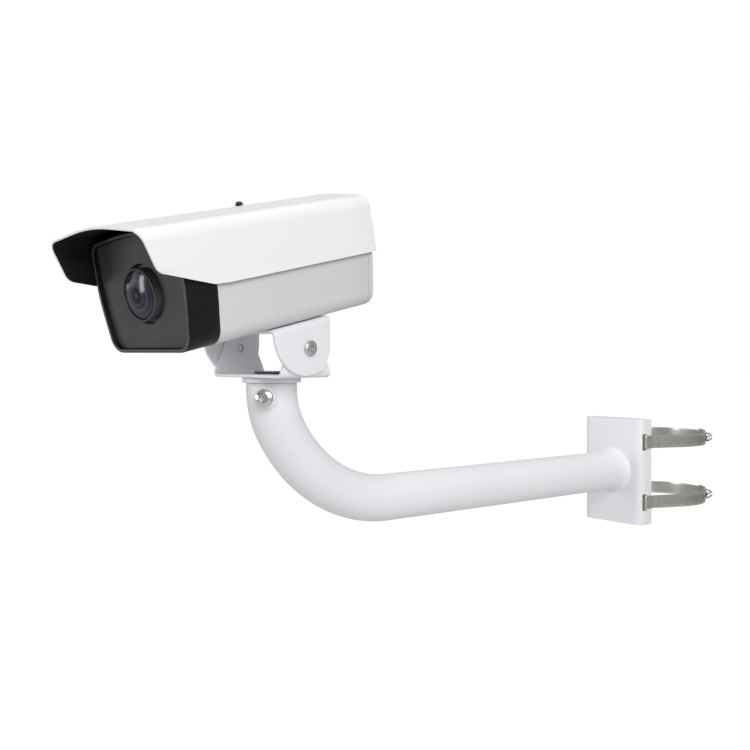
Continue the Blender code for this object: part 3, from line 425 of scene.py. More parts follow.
def brushedSteel(name, colour, stain, roughness, stretch, scale):
    # long fine scratches along the surface's own map, faint staining, scattered rubs
    finish = Finish(name)
    scratch = finish.noise(scale, 3.0, 0.7, stretch, True)
    rub = finish.noise(60.0, 3.0)
    return finish.drive(Base_Color=finish.blend(finish.ramp(rub, 0.45, 0.8) * 0.55, colour, stain),
                        Metallic=1.0, Roughness=roughness + scratch * 0.16 + rub * 0.06,
                        Normal=finish.bump(scratch, 0.00002, 0.6))


def machinedMetal(name, colour, roughness, metallic=1.0):
    # fine turning grain, a little duller and darker where it is rubbed
    finish = Finish(name)
    grain = finish.noise(900.0, 3.0, 0.6)
    rub = finish.noise(75.0, 2.0)
    dull = rgb(*(c * 0.72 for c in colour[:3]))
    return finish.drive(Base_Color=finish.blend(finish.ramp(rub, 0.45, 0.75) * 0.4, colour, dull),
                        Roughness=roughness + grain * 0.10 + finish.ramp(rub, 0.4, 0.8) * 0.10,
                        Metallic=metallic, Normal=finish.bump(grain, 0.00001, 0.5))


windowLook = {"deep": rgb(0.050, 0.050, 0.052), "haze": rgb(0.060, 0.060, 0.062), "roughness": 0.24}


def smokedGlass(name):
    # nearly black acrylic with the faintest haze of dust
    finish = Finish(name)
    haze = finish.noise(38.0, 5.0, 0.65)
    specks = finish.cells(700.0)
    return finish.drive(Base_Color=finish.blend(finish.ramp(haze, 0.35, 0.8), windowLook["deep"],
                                                windowLook["haze"]),
                        Roughness=windowLook["roughness"] + finish.ramp(haze, 0.4, 0.8) * 0.05
                        + (1.0 - finish.ramp(specks, 0.02, 0.10)) * 0.10,
                        Specular_IOR_Level=0.5,
                        Normal=finish.bump(finish.noise(16.0, 2.0), 0.00002))


def lensGlass(name, tint, colour, transmission=1.0, roughness=0.02):
    # coated glass: the coating colours what it reflects
    finish = Finish(name)
    film = finish.noise(45.0, 2.0)
    deep = rgb(*(c * 0.6 for c in colour[:3]))
    return finish.drive(Base_Color=finish.blend(finish.ramp(film, 0.3, 0.7), colour, deep),
                        Roughness=roughness + film * 0.02, IOR=1.52, Transmission_Weight=transmission,
                        Specular_IOR_Level=0.8, Specular_Tint=tint)


# radius as a share of the glass, and the colour painted there: a painted grey glint at the centre, a dark pupil of
# painted shade, bluish rings of painted reflection and dark rings of painted shade for the barrel's steps
paintedLensShadeRings = [(0.00, rgb(0.090, 0.095, 0.095)), (0.07, rgb(0.070, 0.075, 0.078)),
             (0.13, rgb(0.001, 0.001, 0.002)), (0.32, rgb(0.001, 0.001, 0.002)),
             (0.38, rgb(0.060, 0.066, 0.090)), (0.52, rgb(0.014, 0.016, 0.026)),
             (0.60, rgb(0.075, 0.082, 0.110)), (0.76, rgb(0.018, 0.020, 0.030)),
             (0.86, rgb(0.045, 0.048, 0.058)), (0.93, rgb(0.004, 0.004, 0.006))]


def lensFace(name, tint):
    # coated front element: rings about the lens axis paint the stepped barrel, the iris and the pupil in it as
    # painted shade and painted reflections, with a painted glint at the centre
    finish = Finish(name)
    source = finish.node("ShaderNodeTexCoord", output="Object")
    centre = inHead(np.array([0.0, housingLook["front"], housingLook["floor"] + lensLook["rise"]]))
    away, kind = source, "ShaderNodeVectorMath"  # radius: length of (point - centre) x axis
    for operation, other in (("SUBTRACT", centre), ("CROSS_PRODUCT", forwardAxis)):
        away = finish.node(kind, {"operation": operation}, {0: away, 1: tuple(other)})
    radius = finish.node(kind, {"operation": "LENGTH"}, {0: away}, 1)
    tone = finish.node("ShaderNodeValToRGB", {"stops": paintedLensShadeRings}, {0: radius / lensLook["glass"]})
    film = finish.noise(45.0, 2.0)
    return finish.drive(Base_Color=finish.blend(finish.ramp(film, 0.3, 0.7) * 0.4, tone, rgb(0.02, 0.02, 0.03)),
                        Roughness=0.12 + film * 0.03, IOR=1.52, Specular_IOR_Level=0.34, Specular_Tint=tint)


def circuitBoard(name):
    # green mask over copper tracks, which show as slightly raised cells
    finish = Finish(name)
    tracks = finish.ramp(finish.cells(260.0, "DISTANCE_TO_EDGE"), 0.02, 0.05)
    tone = finish.noise(300.0, 2.0)
    mask = finish.blend(tone, rgb(0.006, 0.095, 0.035), rgb(0.012, 0.14, 0.05))
    return finish.drive(Base_Color=finish.blend(tracks, rgb(0.03, 0.22, 0.08), mask),
                        Roughness=0.32 + tone * 0.2,
                        Normal=finish.bump(1.0 - tracks, 0.00004))


def softRubber(name):
    finish = Finish(name)
    bloom = finish.noise(85.0, 4.0)
    return finish.drive(Base_Color=finish.blend(bloom, rgb(0.012, 0.012, 0.012), rgb(0.035, 0.034, 0.033)),
                        Roughness=0.72 + bloom * 0.15, Normal=finish.bump(finish.noise(600.0), 0.00005))


powderWhite = paint("powderCoatWhite", rgb(0.80, 0.80, 0.83), rgb(0.70, 0.70, 0.735), 0.36)
shieldWhite = paint("shieldEnamel", rgb(0.83, 0.83, 0.832), rgb(0.77, 0.77, 0.778), 0.40, 0.6, 0.08, 0.15)
shieldBlack = paint("shieldBlackInside", rgb(0.008, 0.008, 0.0085), rgb(0.014, 0.014, 0.015), 0.55, 1.2,
                    0.0, 0.25, 0.2)
housingGrey = paint("housingPaint", rgb(0.64, 0.645, 0.655), rgb(0.56, 0.565, 0.58), 0.40, 0.8, 0.1, 0.3)
collarBlack = blackPlastic("collarPlastic", rgb(0.006, 0.006, 0.0065), 0.42, 0.20)
fittingBlack = blackPlastic("fittingPlastic", rgb(0.018, 0.018, 0.018), 0.52, 0.4, 900.0)
lensBlack = machinedMetal("lensAnodised", rgb(0.020, 0.020, 0.022), 0.32, 0.3)
strapSteel = brushedSteel("strapSteel", rgb(0.66, 0.65, 0.60), rgb(0.46, 0.45, 0.41), 0.20,
                          (1.0, 60.0, 1.0), 60.0)
clipSteel = machinedMetal("clipSteel", rgb(0.60, 0.58, 0.50), 0.26)
boltSteel = machinedMetal("boltSteel", rgb(0.64, 0.63, 0.61), 0.20)
darkSteel = machinedMetal("darkSteel", rgb(0.17, 0.17, 0.165), 0.34)
bareAluminium = machinedMetal("bareAluminium", rgb(0.66, 0.67, 0.68), 0.34)
smokedWindow = smokedGlass("smokedWindow")
noseGrey = blackPlastic("noseAnodised", rgb(0.062, 0.062, 0.063), 0.36, 0.5, 900.0, 0.00001)
# greyer plastic for the rim's front faces: a painted highlight where the rim catches light
rimPaintedHighlightGrey = blackPlastic("rimPlastic", rgb(0.050, 0.050, 0.051), 0.40, 0.5)
# the front glass's rings are painted shade, a painted glint and painted reflections
frontLensGlass = lensFace("frontLensGlass", rgb(0.80, 0.84, 1.0))
innerLensGlass = lensGlass("innerLensGlass", rgb(0.62, 0.35, 1.0), rgb(0.012, 0.010, 0.035), 0.0, 0.05)
filterGlass = lensGlass("filterGlass", rgb(1.0, 0.45, 0.40), rgb(0.25, 0.55, 0.60), 0.6)
boardGreen = circuitBoard("boardGreen")
sealRubber = softRubber("sealRubber")
ledResin = lensGlass("ledResin", rgb(1.0, 1.0, 1.0), rgb(0.80, 0.78, 0.66), 0.5, 0.08)
sensorDie = lensGlass("sensorDie", rgb(0.6, 0.8, 1.0), rgb(0.03, 0.03, 0.06), 0.0, 0.06)
print("finishes made")


# screws

socketTurn = 0.3  # radians, how every screw's socket happens to stand


def socketScrew(name, origin, axis, look, body, finish, replaced):
    # profile turned round its axis: shank, flat under the head, side, dome, chamfered socket, hexagonal hole
    head, rise, shank, length, socket = (look[k] for k in ("head", "rise", "shank", "length", "socket"))
    crown = look.get("crown", 0.35)
    outside = roundedProfile([(0, -length, 0), (shank - 0.0004, -length, 0), (shank, -length + 0.0004, 0),
                              (shank, 0, 0.0001), (head, 0, 0.0002),
                              (head, rise * (1 - crown), rise * crown * 0.55),
                              (socket * 1.45, rise, rise * crown * 0.5), (socket * 1.22, rise, 0.0001),
                              (socket * 1.12, rise - 0.0003, 0)])
    hole = np.array([(socket, rise - 0.0005), (socket, rise * 0.28), (socket * 0.9, rise * 0.22),
                     (0, rise * 0.12)])
    profile = np.concatenate([outside, hole])
    hexFrom = len(outside)

    def wobble(angles, row):  # only the hole's rows are hexagonal
        return np.where((row >= hexFrom) & (row < hexFrom + 3), hexScale(angles), 1.0 + 0 * angles)

    mesh = gridMesh(name, aimed(turnedGrid(profile, 72, wobble), origin, axis, socketTurn))
    placeMesh(mesh, body, finish, replaced, 30.0)


# mount box, arm and straps

mountLook = {"width": 0.070, "height": 0.104, "depth": 0.0176, "sheet": 0.003, "bend": 0.007,
             "slotHeight": 0.0165, "slotDepth": 0.0062, "slotBack": 0.0078, "levels": 0.02975,
             "backHole": 0.0065, "backHoleRise": 0.012}
armLook = {"reach": 0.4263, "radius": 0.019, "wall": 0.0025, "top": 0.096, "bend": 0.118, "sweep": 60.0,
           "straight": 0.004, "sides": 96}


def foldedChannel(look):  # U outline of folded sheet, x across and y forwards from the pole
    half, sheet, bend, depth = look["width"] / 2, look["sheet"], look["bend"], look["depth"]
    lip = 0.0007
    return [(half - sheet, 0, lip), (half, 0, lip), (half, depth, bend), (-half, depth, bend), (-half, 0, lip),
            (-half + sheet, 0, lip), (-half + sheet, depth - sheet, bend - sheet),
            (half - sheet, depth - sheet, bend - sheet)]


def mountBox():
    # the folded outline from the bottom to the top, drawn in by a quarter circle at both ends
    outline, normals = roundedOutline(foldedChannel(mountLook), spacing=0.006)
    half = mountLook["height"] / 2
    edge = 0.0006
    lean = np.linspace(0, math.pi / 2, 4)
    insets = np.concatenate([edge * (1 - np.sin(lean)), edge * (1 - np.cos(lean))])
    levels = np.concatenate([-half + edge * (1 - np.cos(lean)), half - edge * (1 - np.sin(lean))])
    grid = insetRings(outline, normals, insets, levels)[..., [0, 2, 1]]
    mesh = gridMesh("mountBox", inRoot(grid), capRows=True)
    slotHalf = mountLook["slotHeight"] / 2
    near = mountLook["slotBack"]
    far = near + mountLook["slotDepth"]
    cutters = []
    for level in (-mountLook["levels"], mountLook["levels"]):
        outline, _ = oblong(near, far, level - slotHalf, level + slotHalf, 0.0012)
        cutters.append(blockMesh("slot", outline, -mountLook["width"], mountLook["width"],
                                 lambda p: inRoot(p[..., [2, 0, 1]])))
    placeMesh(cutAway(mesh, cutters), "mount_and_arm", powderWhite, ("mount_channel",),
              30.0)

    inner = mountLook["width"] / 2 - mountLook["sheet"] - 0.0003
    outline, normals = oblong(-inner, inner, -half, half, 0.0015)
    insets = np.array([0.0005, 0.0001, 0.0])
    grid = insetRings(outline, normals, [*insets, *insets[::-1]],
                      [*insets[::-1], *(mountLook["sheet"] - insets)])
    plate = gridMesh("mountBackPlate", inRoot(grid), capRows=True)
    ring = circle(mountLook["backHole"], 40, [0, mountLook["backHoleRise"]])
    hole = blockMesh("hole", ring, -0.01, 0.02, lambda p: inRoot(p[..., [0, 2, 1]]))
    placeMesh(cutAway(plate, [hole]), "mount_and_arm", powderWhite, ("mount_back_plate",))


def armPath(steps=64, straightSteps=23):
    # straight, a wide arc, a tighter arc that ends upright, a short straight; (forwards, up) and heading
    sweep = math.radians(armLook["sweep"])
    wide = armLook["bend"]
    rise = wide * (1 - math.cos(sweep))
    tight = (armLook["top"] - armLook["straight"] - rise) / math.cos(sweep)
    start = armLook["reach"] - wide * math.sin(sweep) - tight * (1 - math.sin(sweep))
    first = sweep * np.linspace(0, 1, steps)
    second = sweep + (math.pi / 2 - sweep) * np.linspace(0, 1, steps // 2)[1:]
    forwards = np.concatenate([np.linspace(mountLook["depth"] + 0.0003, start, straightSteps + 1)[:-1],
                               start + wide * np.sin(first),
                               start + wide * math.sin(sweep) + tight * (np.sin(second) - math.sin(sweep)),
                               [armLook["reach"]]])
    up = np.concatenate([np.zeros(straightSteps), wide * (1 - np.cos(first)),
                         rise + tight * (math.cos(sweep) - np.cos(second)), [armLook["top"]]])
    heading = np.concatenate([np.zeros(straightSteps), first, second, [math.pi / 2]])
    return forwards, up, heading


def arm():
    forwards, up, heading = armPath()
    angles = spread(armLook["sides"])

    def skin(radius):  # circle of that radius square to the path
        lift = radius * np.sin(angles)[None]
        return np.stack([radius * np.cos(angles)[None] + 0 * heading[:, None],
                         forwards[:, None] - lift * np.sin(heading)[:, None],
                         up[:, None] + lift * np.cos(heading)[:, None]], -1)

    outer = skin(armLook["radius"])
    inner = skin(armLook["radius"] - armLook["wall"])[::-1]
    rim = skin(armLook["radius"] - 0.0004)[-1:]
    outer[-1, :, 2] -= 0.0004
    inner[0, :, 2] -= 0.0002
    mesh = gridMesh("armTube", inRoot(np.concatenate([outer, rim, inner])), wrapRows=True)
    placeMesh(mesh, "mount_and_arm", powderWhite, ("arm_tube",), 50.0)


weldLook = {"width": 0.0052, "rise": 0.0042, "ripples": 46, "ripple": 0.00022, "wave": 0.00025, "hollow": 1.25,
            "sides": 276, "rows": 16, "bite": 0.0006}


def armWeld():
    # bead turned round the tube: hollow fillet (rise (1 - s)^h, width s^h) with s from 0 to 1, h the hollow,
    # raised by a ripple |sin| of the angle where it bulges most, sin(pi s)
    look = weldLook
    angles = spread(look["sides"])
    ripple = look["ripple"] * np.abs(np.sin(angles * look["ripples"] / 2)) * (1 + 0.3 * np.sin(angles * 5))
    ripple = ripple + look["wave"] * np.sin(angles * 3 + 1.0)
    steps = np.linspace(0, 1, look["rows"])
    raised = ripple[None] * np.sin(steps * math.pi)[:, None]
    base = armLook["radius"] - look["bite"]
    wall = mountLook["depth"] - 0.0001
    radius = base + look["bite"] + (look["rise"] * (1 - steps) ** look["hollow"])[:, None] + raised
    level = wall + (look["width"] * steps ** look["hollow"])[:, None] + raised

    def row(radius, level):
        return np.stack([radius * np.cos(angles), level + 0 * angles, radius * np.sin(angles)], -1)

    closing = np.stack([row(base, mountLook["depth"] + look["width"]), row(base, wall)])
    mesh = gridMesh("armWeldBead", inRoot(np.concatenate([row(radius, level), closing])), wrapRows=True)
    placeMesh(mesh, "mount_and_arm", powderWhite, ("arm_weld",), 60.0)


lockLook = {"drop": 0.0103, "angle": -45.0, "boss": 0.0078, "height": 0.0052, "sink": 0.004, "gap": 0.0003,
            "bead": 0.0012, "ripple": 0.00015,
            "screw": {"head": 0.0066, "rise": 0.0046, "shank": 0.004, "length": 0.0095, "socket": 0.0025}}


def panLock():
    look = lockLook
    angle = math.radians(look["angle"])
    outward = np.array([math.cos(angle), math.sin(angle), 0.0])
    centre = np.array([0.0, -armLook["reach"], armLook["top"] - look["drop"]])
    seat = armLook["radius"] + look["height"]
    boss, bore = look["boss"], look["screw"]["shank"] + look["gap"]
    base = armLook["radius"] - look["sink"]
    profile = roundedProfile([(bore, seat - 0.0003, 0), (bore + 0.0003, seat, 0.0001), (boss, seat, 0.0012),
                              (boss, base, 0)])
    bossMesh = turned("boss", np.concatenate([profile, [(bore, base)]]), 64, centre, outward)
    # weld round the boss: a torus that follows the tube, its height sqrt(R^2 - x^2)
    angles, turns = spread(96), spread(12)[:, None]
    bead = (look["bead"] + look["ripple"] * np.abs(np.sin(angles * 11)))[None]
    ringRadius = boss + bead * np.cos(turns)
    saddle = np.sqrt(armLook["radius"] ** 2 - (boss * np.cos(angles)) ** 2)
    grid = np.stack([ringRadius * np.cos(angles), ringRadius * np.sin(angles),
                     saddle[None] + bead * np.sin(turns)], -1)
    beadMesh = gridMesh("bead", aimed(grid, centre, outward), wrapRows=True)
    placeMesh(joined("panLockBoss", [bossMesh, beadMesh]), "mount_and_arm", powderWhite,
              ("pan_lock_boss",), 50.0)
    socketScrew("panLockScrew", centre + outward * (seat + look["gap"]), outward, look["screw"], "mount_and_arm",
                boltSteel, ("pan_lock_screw",))


strapLook = {"pole": 0.0508, "width": 0.0127, "sheet": 0.0009, "tailSheet": 0.0006, "gap": 0.0003, "fold": 0.0016,
             "slotPitch": 0.0031, "slotWidth": 0.0011, "slotLength": 0.0078, "slotLean": 12.0}
wormLook = {"angle": 52.0, "length": 0.014, "screw": 0.003, "wall": 0.001, "arch": 0.0046, "pitch": 0.0016,
            "depth": 0.00055, "tail": 0.0028, "slotWidth": 0.0011, "slotDepth": 0.0011}


def strapLine(offset):
    # the slot's corner, the open run inside the box, the slot, and the tangent point on the pole's circle
    look = strapLook
    radius = look["pole"] + look["gap"] + offset
    poleY = look["pole"] + look["gap"]
    half = mountLook["width"] / 2 + look["gap"] + offset
    corner = np.array([half, -look["gap"]])
    slotY = -mountLook["slotBack"] - mountLook["slotDepth"] / 2
    inside = half - mountLook["sheet"] - 2 * look["gap"] - 0.004
    toCorner = corner - [0, poleY]
    first = math.atan2(toCorner[1], toCorner[0]) + math.acos(radius / np.linalg.norm(toCorner))
    return corner, (inside, slotY - offset), (half, slotY + 0.0012 - offset), first, radius, poleY


def strapPoints(offset):  # centreline of the strap as (x, y) points with rounded folds at the slots
    corner, inner, outer, first, radius, poleY = strapLine(offset)
    angles = np.linspace(first, math.pi - first, 181)
    arc = np.stack([radius * np.cos(angles), poleY + radius * np.sin(angles)], 1)
    fold = strapLook["fold"]
    right, _ = roundedOutline([(0, inner[1], 0), (*inner, 0.001), (*outer, fold), (*corner, fold),
                               (*arc[0], 0)], closed=False, spacing=0.0015)
    left = right[::-1] * [-1, 1]
    return np.concatenate([right[1:-1], arc, left[1:-1]])


def ribbon(name, line, width, sheet, level, closed):
    # the strap's rounded-oblong section carried along the line, square to it
    step = np.roll(line, -1, 0) - np.roll(line, 1, 0)
    if not closed:
        step[0], step[-1] = line[1] - line[0], line[-1] - line[-2]
    step = step / np.linalg.norm(step, axis=1)[:, None]
    outward = np.stack([step[:, 1], -step[:, 0]], 1)
    section, _ = oblong(-sheet / 2, sheet / 2, -width / 2, width / 2, 0.0003, arcStep=30.0, spacing=0.0022)
    places = line[:, None] + outward[:, None] * section[None, :, :1]
    heights = level + section[None, :, 1:] + 0 * places[..., :1]
    grid = np.concatenate([places, heights], -1)
    mean = float(np.mean(np.linalg.norm(np.diff(line, axis=0), axis=1)))
    around = float(2 * (width + sheet) / len(section))
    return gridMesh(name, grid, wrapRows=closed, capRows=not closed, stretch=(mean, around))


def strapTailLine(offset):  # free end: from the worm housing back along the outside of the strap
    corner, _, _, first, radius, poleY = strapLine(offset)
    angles = np.radians(np.linspace(wormLook["angle"] + 5.0, math.degrees(first), 60))
    arc = np.stack([radius * np.cos(angles), poleY + radius * np.sin(angles)], 1)
    run = np.linspace(0, 1, 16)[1:, None]
    straight = arc[-1] + (corner - arc[-1]) * run * 0.80
    return np.concatenate([arc, straight])


def slotCutters(line, level):  # slanted slots punched at an even pitch along the free end
    reach = np.concatenate([[0], np.cumsum(np.linalg.norm(np.diff(line, axis=0), axis=1))])
    stops = np.arange(0.012, reach[-1] - 0.004, strapLook["slotPitch"])
    cutters = []
    lean = math.radians(strapLook["slotLean"])
    half, long = strapLook["slotWidth"] / 2, strapLook["slotLength"] / 2
    outline, _ = oblong(-half, half, -long, long, half * 0.9, arcStep=45.0)
    for stop in stops:
        centre, ahead = (np.array([np.interp(at, reach, line[:, k]) for k in (0, 1)])
                         for at in (stop, stop + 0.0004))
        ahead = ahead - centre
        along = np.array([*(ahead / np.linalg.norm(ahead)), 0.0])
        outward = np.array([along[1], -along[0], 0.0])
        rise = math.cos(lean) * worldUp + math.sin(lean) * along
        axes = np.array([np.cross(outward, rise), rise, outward])
        origin = np.array([*centre, level])
        cutters.append(blockMesh("slot", outline, -0.0007, 0.0007, lambda p: origin + p @ axes))
    return joined("slots", cutters)


def strapSet(name, level):
    sheet, tailSheet = strapLook["sheet"], strapLook["tailSheet"]
    band = ribbon(name + "Strap", strapPoints(sheet / 2), strapLook["width"], sheet, level, True)
    tailLine = strapTailLine(sheet + 0.0001 + tailSheet / 2)
    tail = ribbon(name + "StrapTail", tailLine, strapLook["width"], tailSheet, level, False)
    tail = cutAway(tail, [slotCutters(tailLine, level)])
    placeMesh(band, "mount_and_arm", strapSteel, (name + "_strap",), 40.0)
    placeMesh(tail, "mount_and_arm", strapSteel, (), 40.0)

    angle = math.radians(wormLook["angle"])
    out = np.array([math.cos(angle), math.sin(angle), 0.0])
    tangent = np.array([math.sin(angle), -math.cos(angle), 0.0])
    origin = np.array([0.0, strapLook["pole"] + strapLook["gap"], level])
    outer = strapLook["pole"] + strapLook["gap"] + sheet
    centre = outer + strapLook["gap"] + wormLook["screw"] + 0.001
    wormHousing(name, origin, out, tangent, outer, centre)
    wormScrew(name, origin + out * centre, tangent, centre - outer)


def wormHousing(name, origin, out, tangent, outer, centre):
    # a folded sheet's outline (height, distance from the pole's axis) carried along the tangent
    wall, arch = wormLook["wall"], wormLook["arch"]
    half = strapLook["width"] / 2 + strapLook["gap"]
    root = outer - strapLook["sheet"] - 0.0006
    shelf = outer + strapLook["tailSheet"] + 0.0012
    foot = shelf - wall
    turn = np.linspace(0.12, math.pi - 0.12, 25)
    rim, inRim = (np.stack([radius * np.cos(angles), centre + radius * np.sin(angles)], 1)
                  for radius, angles in ((arch, turn), (arch - wall, turn[::-1])))
    side = np.array([(half + wall, root), (half + wall, shelf - 0.0006), (half + wall * 0.6, shelf),
                     (arch + 0.0004, shelf)])
    lining = np.array([(half, root), (half, foot), (arch - wall, foot)])
    outline = np.concatenate([side, rim, (side * [-1, 1])[::-1], lining * [-1, 1], inRim, lining[::-1]])
    length = wormLook["length"] / 2
    ends = np.array([-length, -length * 0.8, 0.0, length * 0.8, length])
    grid = (origin + ends[:, None, None] * tangent + outline[None, :, 1:] * out
            + outline[None, :, :1] * worldUp)
    placeMesh(gridMesh(name + "WormHousing", grid, capRows=True), "mount_and_arm", clipSteel,
              (name + "_worm_housing",), 35.0, 0.00025)


def wormScrew(name, place, tangent, rise):
    # worm thread: radius less a rounded helical groove, depth (1 + cos(2 pi z / pitch - angle)) / 2
    body, pitch, depth, tail = (wormLook[k] for k in ("screw", "pitch", "depth", "tail"))
    head = rise - strapLook["tailSheet"] - 0.0004  # its corners clear the strap's free end as it turns
    reach = wormLook["length"] / 2 + strapLook["gap"]
    levels = np.linspace(-reach - tail, reach, 150)[:, None]
    angles = spread(48)
    fade = np.clip((levels + reach + tail) / 0.001, 0, 1) * np.clip((reach - levels) / 0.001, 0, 1)
    radius = body - depth * fade * (1 + np.cos(2 * math.pi * levels / pitch - angles[None])) / 2
    rows = [np.stack([radius * np.cos(angles), radius * np.sin(angles), levels + 0 * radius], -1)]
    hexSide = head * 0.88
    hexagon = np.minimum(hexSide * hexScale(angles), head)
    top = reach + rise
    collar = hexSide * 1.12 + 0 * angles
    for ring, height in ((collar, reach), (collar, reach + 0.0005), (hexagon, reach + 0.0006),
                         (hexagon, top - 0.0004), (hexSide * 0.86 + 0 * angles, top)):
        rows.append(np.stack([ring * np.cos(angles), ring * np.sin(angles), height + 0 * angles], -1)[None])
    screw = gridMesh(name + "WormScrew", aimed(np.concatenate(rows), place, tangent), capRows=True)
    half, long = wormLook["slotWidth"] / 2, 0.006
    slot, _ = oblong(-long, long, -half, half)
    cutter = blockMesh("slot", slot, top - wormLook["slotDepth"], top + 0.001,
                       lambda p: aimed(p, place, tangent, 0.5))
    placeMesh(cutAway(screw, [cutter]), name + "_worm", boltSteel, (name + "_worm_screw",), 30.0)


mountBox()
arm()
armWeld()
panLock()
strapSet("upper", mountLook["levels"])
strapSet("lower", -mountLook["levels"])
print("mount and arm made")


# pan spigot, yoke and bracket

bracketLook = {"sheet": 0.0025, "bend": 0.004, "yokeWidth": 0.0764, "yokeLength": 0.049, "flange": 0.022,
               "flangeSheet": 0.0036, "thread": 0.0092, "spigot": 0.0145, "rise": 0.0192, "drop": 0.0197,
               "front": 0.031, "nose": 0.030, "rear": 0.0266, "hip": 0.0207, "hipDrop": 0.0054, "heel": 0.0125,
               "floor": 0.0195, "gap": 0.0003, "nut": 0.0016, "nutAcross": 0.024,
               "bolt": {"head": 0.0056, "rise": 0.0032, "shank": 0.003, "length": 0.0048, "socket": 0.0019}}


def foldedSheet(name, outline, normals, rearAt, frontAt, sheet, place):
    # developable sheet: outline point s, width from rear(s) to front(s), both faces sheet apart, rims rounded
    rim = sheet * 0.28
    lean = np.linspace(0, math.pi / 2, 4)
    width = np.linspace(0, 1, 9)
    fall, climb, level = rim * (1 - np.sin(lean)), rim * (1 - np.cos(lean)), np.zeros(7)
    depths = np.concatenate([fall, level, climb, sheet - fall, level + sheet, sheet - climb])
    weights = np.concatenate([np.zeros(4), width[1:-1], np.ones(8), width[1:-1][::-1], np.zeros(4)])
    shifts = np.concatenate([climb, level, -fall, -climb, level, fall])
    flat = outline[None] - normals[None] * depths[:, None, None]
    run = np.maximum(frontAt - rearAt, 0.0)
    narrow = np.minimum(run / (4 * rim), 1.0)  # the rounding fades where the sheet comes to a point
    ahead = rearAt[None] + weights[:, None] * run[None] + shifts[:, None] * narrow[None]
    grid = np.stack([flat[..., 0], ahead, flat[..., 1]], -1)
    return gridMesh(name, place(grid), wrapRows=True, wrapCols=False, capCols=True)


def channelLine(half, base, tip, bend):  # open U outline, far tip to near tip round the floor
    corners = [(half, tip, 0), (half, base, bend), (-half, base, bend), (-half, tip, 0)]
    if base < tip:
        corners = corners[::-1]
    return roundedOutline(corners, closed=False, arcStep=9.0, spacing=0.0009)


def lowerYoke():
    look = bracketLook
    base = armLook["top"] + look["gap"] + look["flangeSheet"] + look["gap"]
    tipRadius = look["floor"] - look["gap"] - look["bend"] - 0.0006
    axisLevel = tiltCentre[2]
    half = look["yokeLength"] / 2
    outline, normals = channelLine(look["yokeWidth"] / 2, base, axisLevel + tipRadius * 0.9995, look["bend"])
    # the ear narrows along the tangent from the fold to an arc round the tilt axis
    foldLevel = base + look["bend"]
    across, up = half, foldLevel - axisLevel
    first = math.atan2(up, across) + math.acos(tipRadius / math.hypot(across, up))
    touch = np.array([tipRadius * math.cos(first), axisLevel + tipRadius * math.sin(first)])
    level = outline[:, 1]
    slant = half + (touch[0] - half) * np.clip((level - foldLevel) / (touch[1] - foldLevel), 0, 1)
    arc = np.sqrt(np.maximum(tipRadius ** 2 - (level - axisLevel) ** 2, 0.0))
    width = np.where(level <= foldLevel, half, np.where(level < touch[1], slant, arc))
    mesh = foldedSheet("lowerYoke", outline, normals, -width, width, look["sheet"], inPan)
    hole = blockMesh("hole", circle(look["thread"] + look["gap"]), base - 0.003, base + 0.006, inPan)
    bore = blockMesh("hole", circle(look["bolt"]["shank"] + look["gap"], 48, [0, axisLevel]), -0.06, 0.06,
                     lambda p: inPan(p[..., [2, 0, 1]]))
    placeMesh(cutAway(mesh, [hole, bore]), "pan_yoke", powderWhite, ("lower_yoke",), 30.0)


def climbing(edge):  # heights that only rise, so the edge can be looked up by height
    edge[:, 1] = np.maximum.accumulate(edge[:, 1] + 1e-9 * np.arange(len(edge)))
    return edge[:, 1], edge[:, 0]


def upperBracket():
    look = bracketLook
    half = look["yokeWidth"] / 2 + look["gap"] + look["sheet"]
    base = look["floor"] - look["gap"]
    tip = -look["drop"]
    outline, normals = channelLine(half, base, tip, look["bend"])
    front, rear = (np.interp(outline[:, 1], *climbing(roundedOutline(corners, closed=False, arcStep=fine,
                                                                     spacing=0.001)[0]))
                   for fine, corners in (
        (3.0, [(0.0, tip, 0), (look["front"], tip, look["nose"]), (look["front"], base + 0.02, 0)]),
        (6.0, [(0.0, tip, 0), (-look["heel"], tip, 0.004), (-look["hip"], -look["hipDrop"], 0.006),
               (-look["rear"], base + 0.001, 0), (-look["rear"], base + 0.02, 0)])))
    mesh = foldedSheet("upperBracket", outline, normals, rear, front, look["sheet"], inHead)
    bore = blockMesh("hole", circle(look["bolt"]["shank"] + look["gap"]), -0.06, 0.06,
                     lambda p: inHead(p[..., [2, 0, 1]]))
    placeMesh(cutAway(mesh, [bore]), "housing", powderWhite, ("upper_bracket",), 30.0)
    for side, name in ((1, "near"), (-1, "far")):
        place = inHead(np.array([side * 0.019, 0.009, base - look["sheet"] - look["gap"]]))
        socketScrew("bracketScrew" + name.capitalize(), place, -upAxis,
                    {"head": 0.0036, "rise": 0.0022, "shank": 0.002, "length": 0.0095, "socket": 0.00125},
                    "housing", boltSteel, ("bracket_screw_" + name,))


